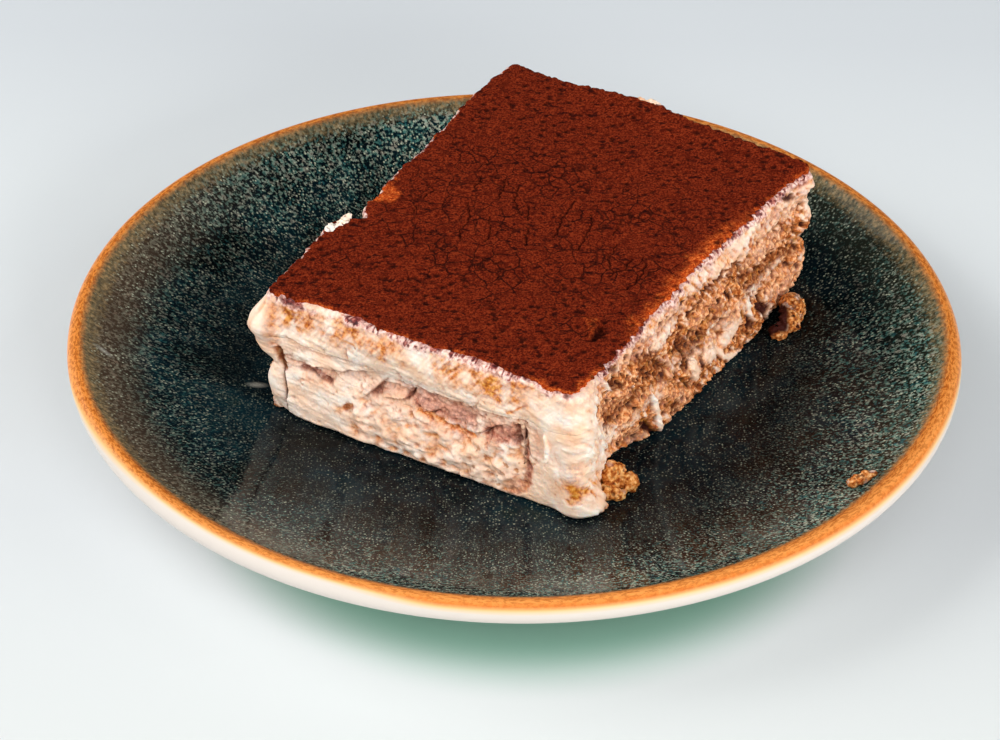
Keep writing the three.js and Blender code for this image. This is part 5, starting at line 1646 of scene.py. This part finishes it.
# %% [markdown]
# ## Broken sponge beside the slice
# When a slice is lifted out, bits of soaked biscuit tear off and lie on the plate. Each lump is
# the union of a few rounded lobes, with its bubbles bitten out, and is turned into a closed skin
# where that solid ends. The dabs and the curl of cream on the slice are made the same way.

# %% Lobes and lumps
LUMP_VOXEL_MM = 0.14
LOBE_MELT_MM = 0.7
LUMP_BUBBLE_MM = 1.5


def lobe_distance(points, lobe):
    """Rough distance to an ellipsoid lobe (place, radii, lift, turn) standing on the plate."""
    (x, y), radii, lift, turn = lobe
    centre = np.array([x, y, plate_floor(np.hypot(x, y)) + lift])
    c, s = np.cos(np.radians(turn)), np.sin(np.radians(turn))
    local = points - centre
    local = np.stack([
        c * local[..., 0] + s * local[..., 1], c * local[..., 1] - s * local[..., 0], local[..., 2],
    ], axis=-1)
    scaled = local / np.array(radii)
    length = np.linalg.norm(scaled, axis=-1)
    return length * (length - 1) / np.maximum(np.linalg.norm(scaled / np.array(radii), axis=-1), 1e-6)


def lump_field(points, lobes, hollows, seed):
    """Signed distance in mm to a torn lump; hollows are balls (place, radius) bitten out."""
    distance = np.full(points.shape[:-1], 9.0)
    for lobe in lobes:
        nearer = lobe_distance(points, lobe)
        close = np.clip(0.5 + 0.5 * (distance - nearer) / LOBE_MELT_MM, 0, 1)
        distance = distance * (1 - close) + nearer * close - LOBE_MELT_MM * close * (1 - close)
    near, _, key = bubbles(points, LUMP_BUBBLE_MM, seed)
    distance += 0.5 * waves(points, 2.2, seed + 1, 3) + 0.14 * waves(points, 0.8, seed + 2, 1)
    distance += 0.55 * smoothstep((0.46 - near) / 0.3) * (key > 0.35)
    for place, radius in hollows:
        distance = np.maximum(distance, radius - np.linalg.norm(points - np.array(place), axis=-1))
    floor = plate_floor(np.hypot(points[..., 0], points[..., 1])) + 0.12
    return np.maximum(distance, floor - points[..., 2])


print("lumps are cut from a grid of", LUMP_VOXEL_MM, "mm")

# %% [markdown]
# ## Paint of the lumps
# The lumps use the same recipe as the cut faces: amber where syrup soaked in, dark in the bubbles
# and in the hollow of the big one, both as painted shade, and a little cream where they tore off.
# A dab of cream is the same paint with its cream mask full.

# %% Masks of a lump
torn_sponge = cut_face(
    "amber crumb of soaked sponge", SPONGE_GLOW, [(0.35, "8A3C0E"), (0.5, "D0843A"), (0.65, "F2BE7C")],
)


def amber(points, seed, amount, pore_shade, shade_ball=None, cream=0.0):
    """Masks of a lump: amber crumb, bubbles painted dark as shade, and an optional hollow painted dark as
    shade and dab of cream.
    """
    near, _, key = bubbles(points, LUMP_BUBBLE_MM, seed)
    tint = waves(points, 2.6, seed + 5, 3)
    pit = pore_shade * smoothstep((0.42 - near) / 0.25) * (key > 0.35)
    pit = np.maximum(pit, 0.55 * smoothstep((waves(points, 1.1, seed + 7, 2) - 0.35) / 0.3))
    if shade_ball:
        place, radius = shade_ball
        deep = smoothstep((radius - np.linalg.norm(points - np.array(place), axis=-1)) / 1.2)
        pit = np.maximum(pit, deep)
    return {
        "cream": np.clip(cream + 0.5 * smoothstep((tint - 0.25) / 0.4), 0, 1),
        "soak": np.clip(0.35 + 0.5 * tint, 0, 1),
        "stain": np.clip(amount - 0.5 * np.maximum(tint, 0), 0, 1),
        "wet": np.zeros(len(points)), "pit": pit, "dust": np.zeros(len(points)),
    }


# %% Lumps of torn sponge, and dabs and a curl of cream
def lump(name, lobes, hollows, seed, material, paint):
    """A torn lump as a closed piece; paint is what amber takes after the seed."""
    places = np.array([[x, y, plate_floor(np.hypot(x, y)) + lift] for (x, y), _, lift, _ in lobes])
    reach = max(max(radii) for _, radii, _, _ in lobes) + 1.2
    low = places.min(axis=0) - reach
    count = np.ceil((places.max(axis=0) + reach - low) / LUMP_VOXEL_MM).astype(int)
    axes = [low[i] + LUMP_VOXEL_MM * np.arange(count[i]) for i in range(3)]
    points = np.stack(np.meshgrid(*axes, indexing="ij"), axis=-1)
    field = lump_field(points, lobes, hollows, seed)
    grid = openvdb.FloatGrid(2.0)
    grid.copyFromArray(field.astype(np.float32))
    corners, triangles, quads = grid.convertToPolygons(isovalue=0.0)
    corners = corners * LUMP_VOXEL_MM + low
    triangles = np.asarray(triangles).reshape(-1, 3)
    return new_piece(name, corners, quads, triangles, material, amber(corners, seed, *paint))


# each lobe: place in plan, radii, height of its centre above the plate, and turn in degrees
CHUNK_LOBES = [
    ((65.0, 23.0), (3.0, 3.9, 2.9), 2.2, 15), ((64.0, 18.6), (3.2, 3.4, 2.6), 2.0, -15),
    ((61.4, 15.8), (2.0, 2.6, 1.6), 1.2, 30),
]
CHUNK_HOLLOW = ((60.4, 18.8, 8.6), 2.7)
CLUSTER_LOBES = [
    ((22.2, -40.6), (3.0, 2.7, 3.7), 3.3, 10), ((26.0, -41.2), (2.1, 2.2, 2.4), 1.9, 0),
    ((20.9, -44.2), (2.5, 1.9, 2.2), 1.7, 30), ((23.2, -44.6), (1.8, 1.6, 1.4), 1.1, 0),
]
CRUMB_LOBES = [((74.2, -53.4), (2.1, 1.6, 1.4), 1.0, 20), ((76.7, -51.8), (1.9, 1.5, 1.2), 0.9, 40)]
DAB_LOBES = [((-38.9, 12.3), (2.6, 1.1, 1.0), 34.4, 60), ((-41.8, 9.1), (2.0, 1.4, 1.2), 34.1, 60)]
CURL_LOBES = [((32.3, 60.9), (2.4, 1.0, 0.8), 33.9, -32), ((29.0, 62.8), (1.6, 0.9, 0.7), 33.7, -32)]
# painted shade: a ball wider than the bitten hollow paints the chunk's dark side
SHADED_HOLLOW = (CHUNK_HOLLOW[0], 5.4)
for name, lobes, hollows, seed, paint, node, slot in (
    ("torn_chunk", CHUNK_LOBES, [CHUNK_HOLLOW], 131, (0.5, 1.0, SHADED_HOLLOW), "sponge_chunk", "soaked_sponge"),
    ("torn_cluster", CLUSTER_LOBES, [], 141, (0.95, 0.6), "crumb_cluster", "crumb"),
    ("torn_crumb", CRUMB_LOBES, [], 151, (0.45, 0.9), "crumb_on_plate", "crumb"),
    ("cream_dabs", DAB_LOBES, [], 161, (0.0, 0.0, None, 1.0), "cream_top", "cream"),
    ("cream_curl", CURL_LOBES, [], 171, (0.35, 0.0, None, 0.9), "cream_top", "cream"),
):
    piece = lump(name, lobes, hollows, seed, mascarpone if slot == "cream" else torn_sponge, paint)
    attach(piece, "root")
    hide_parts(node)
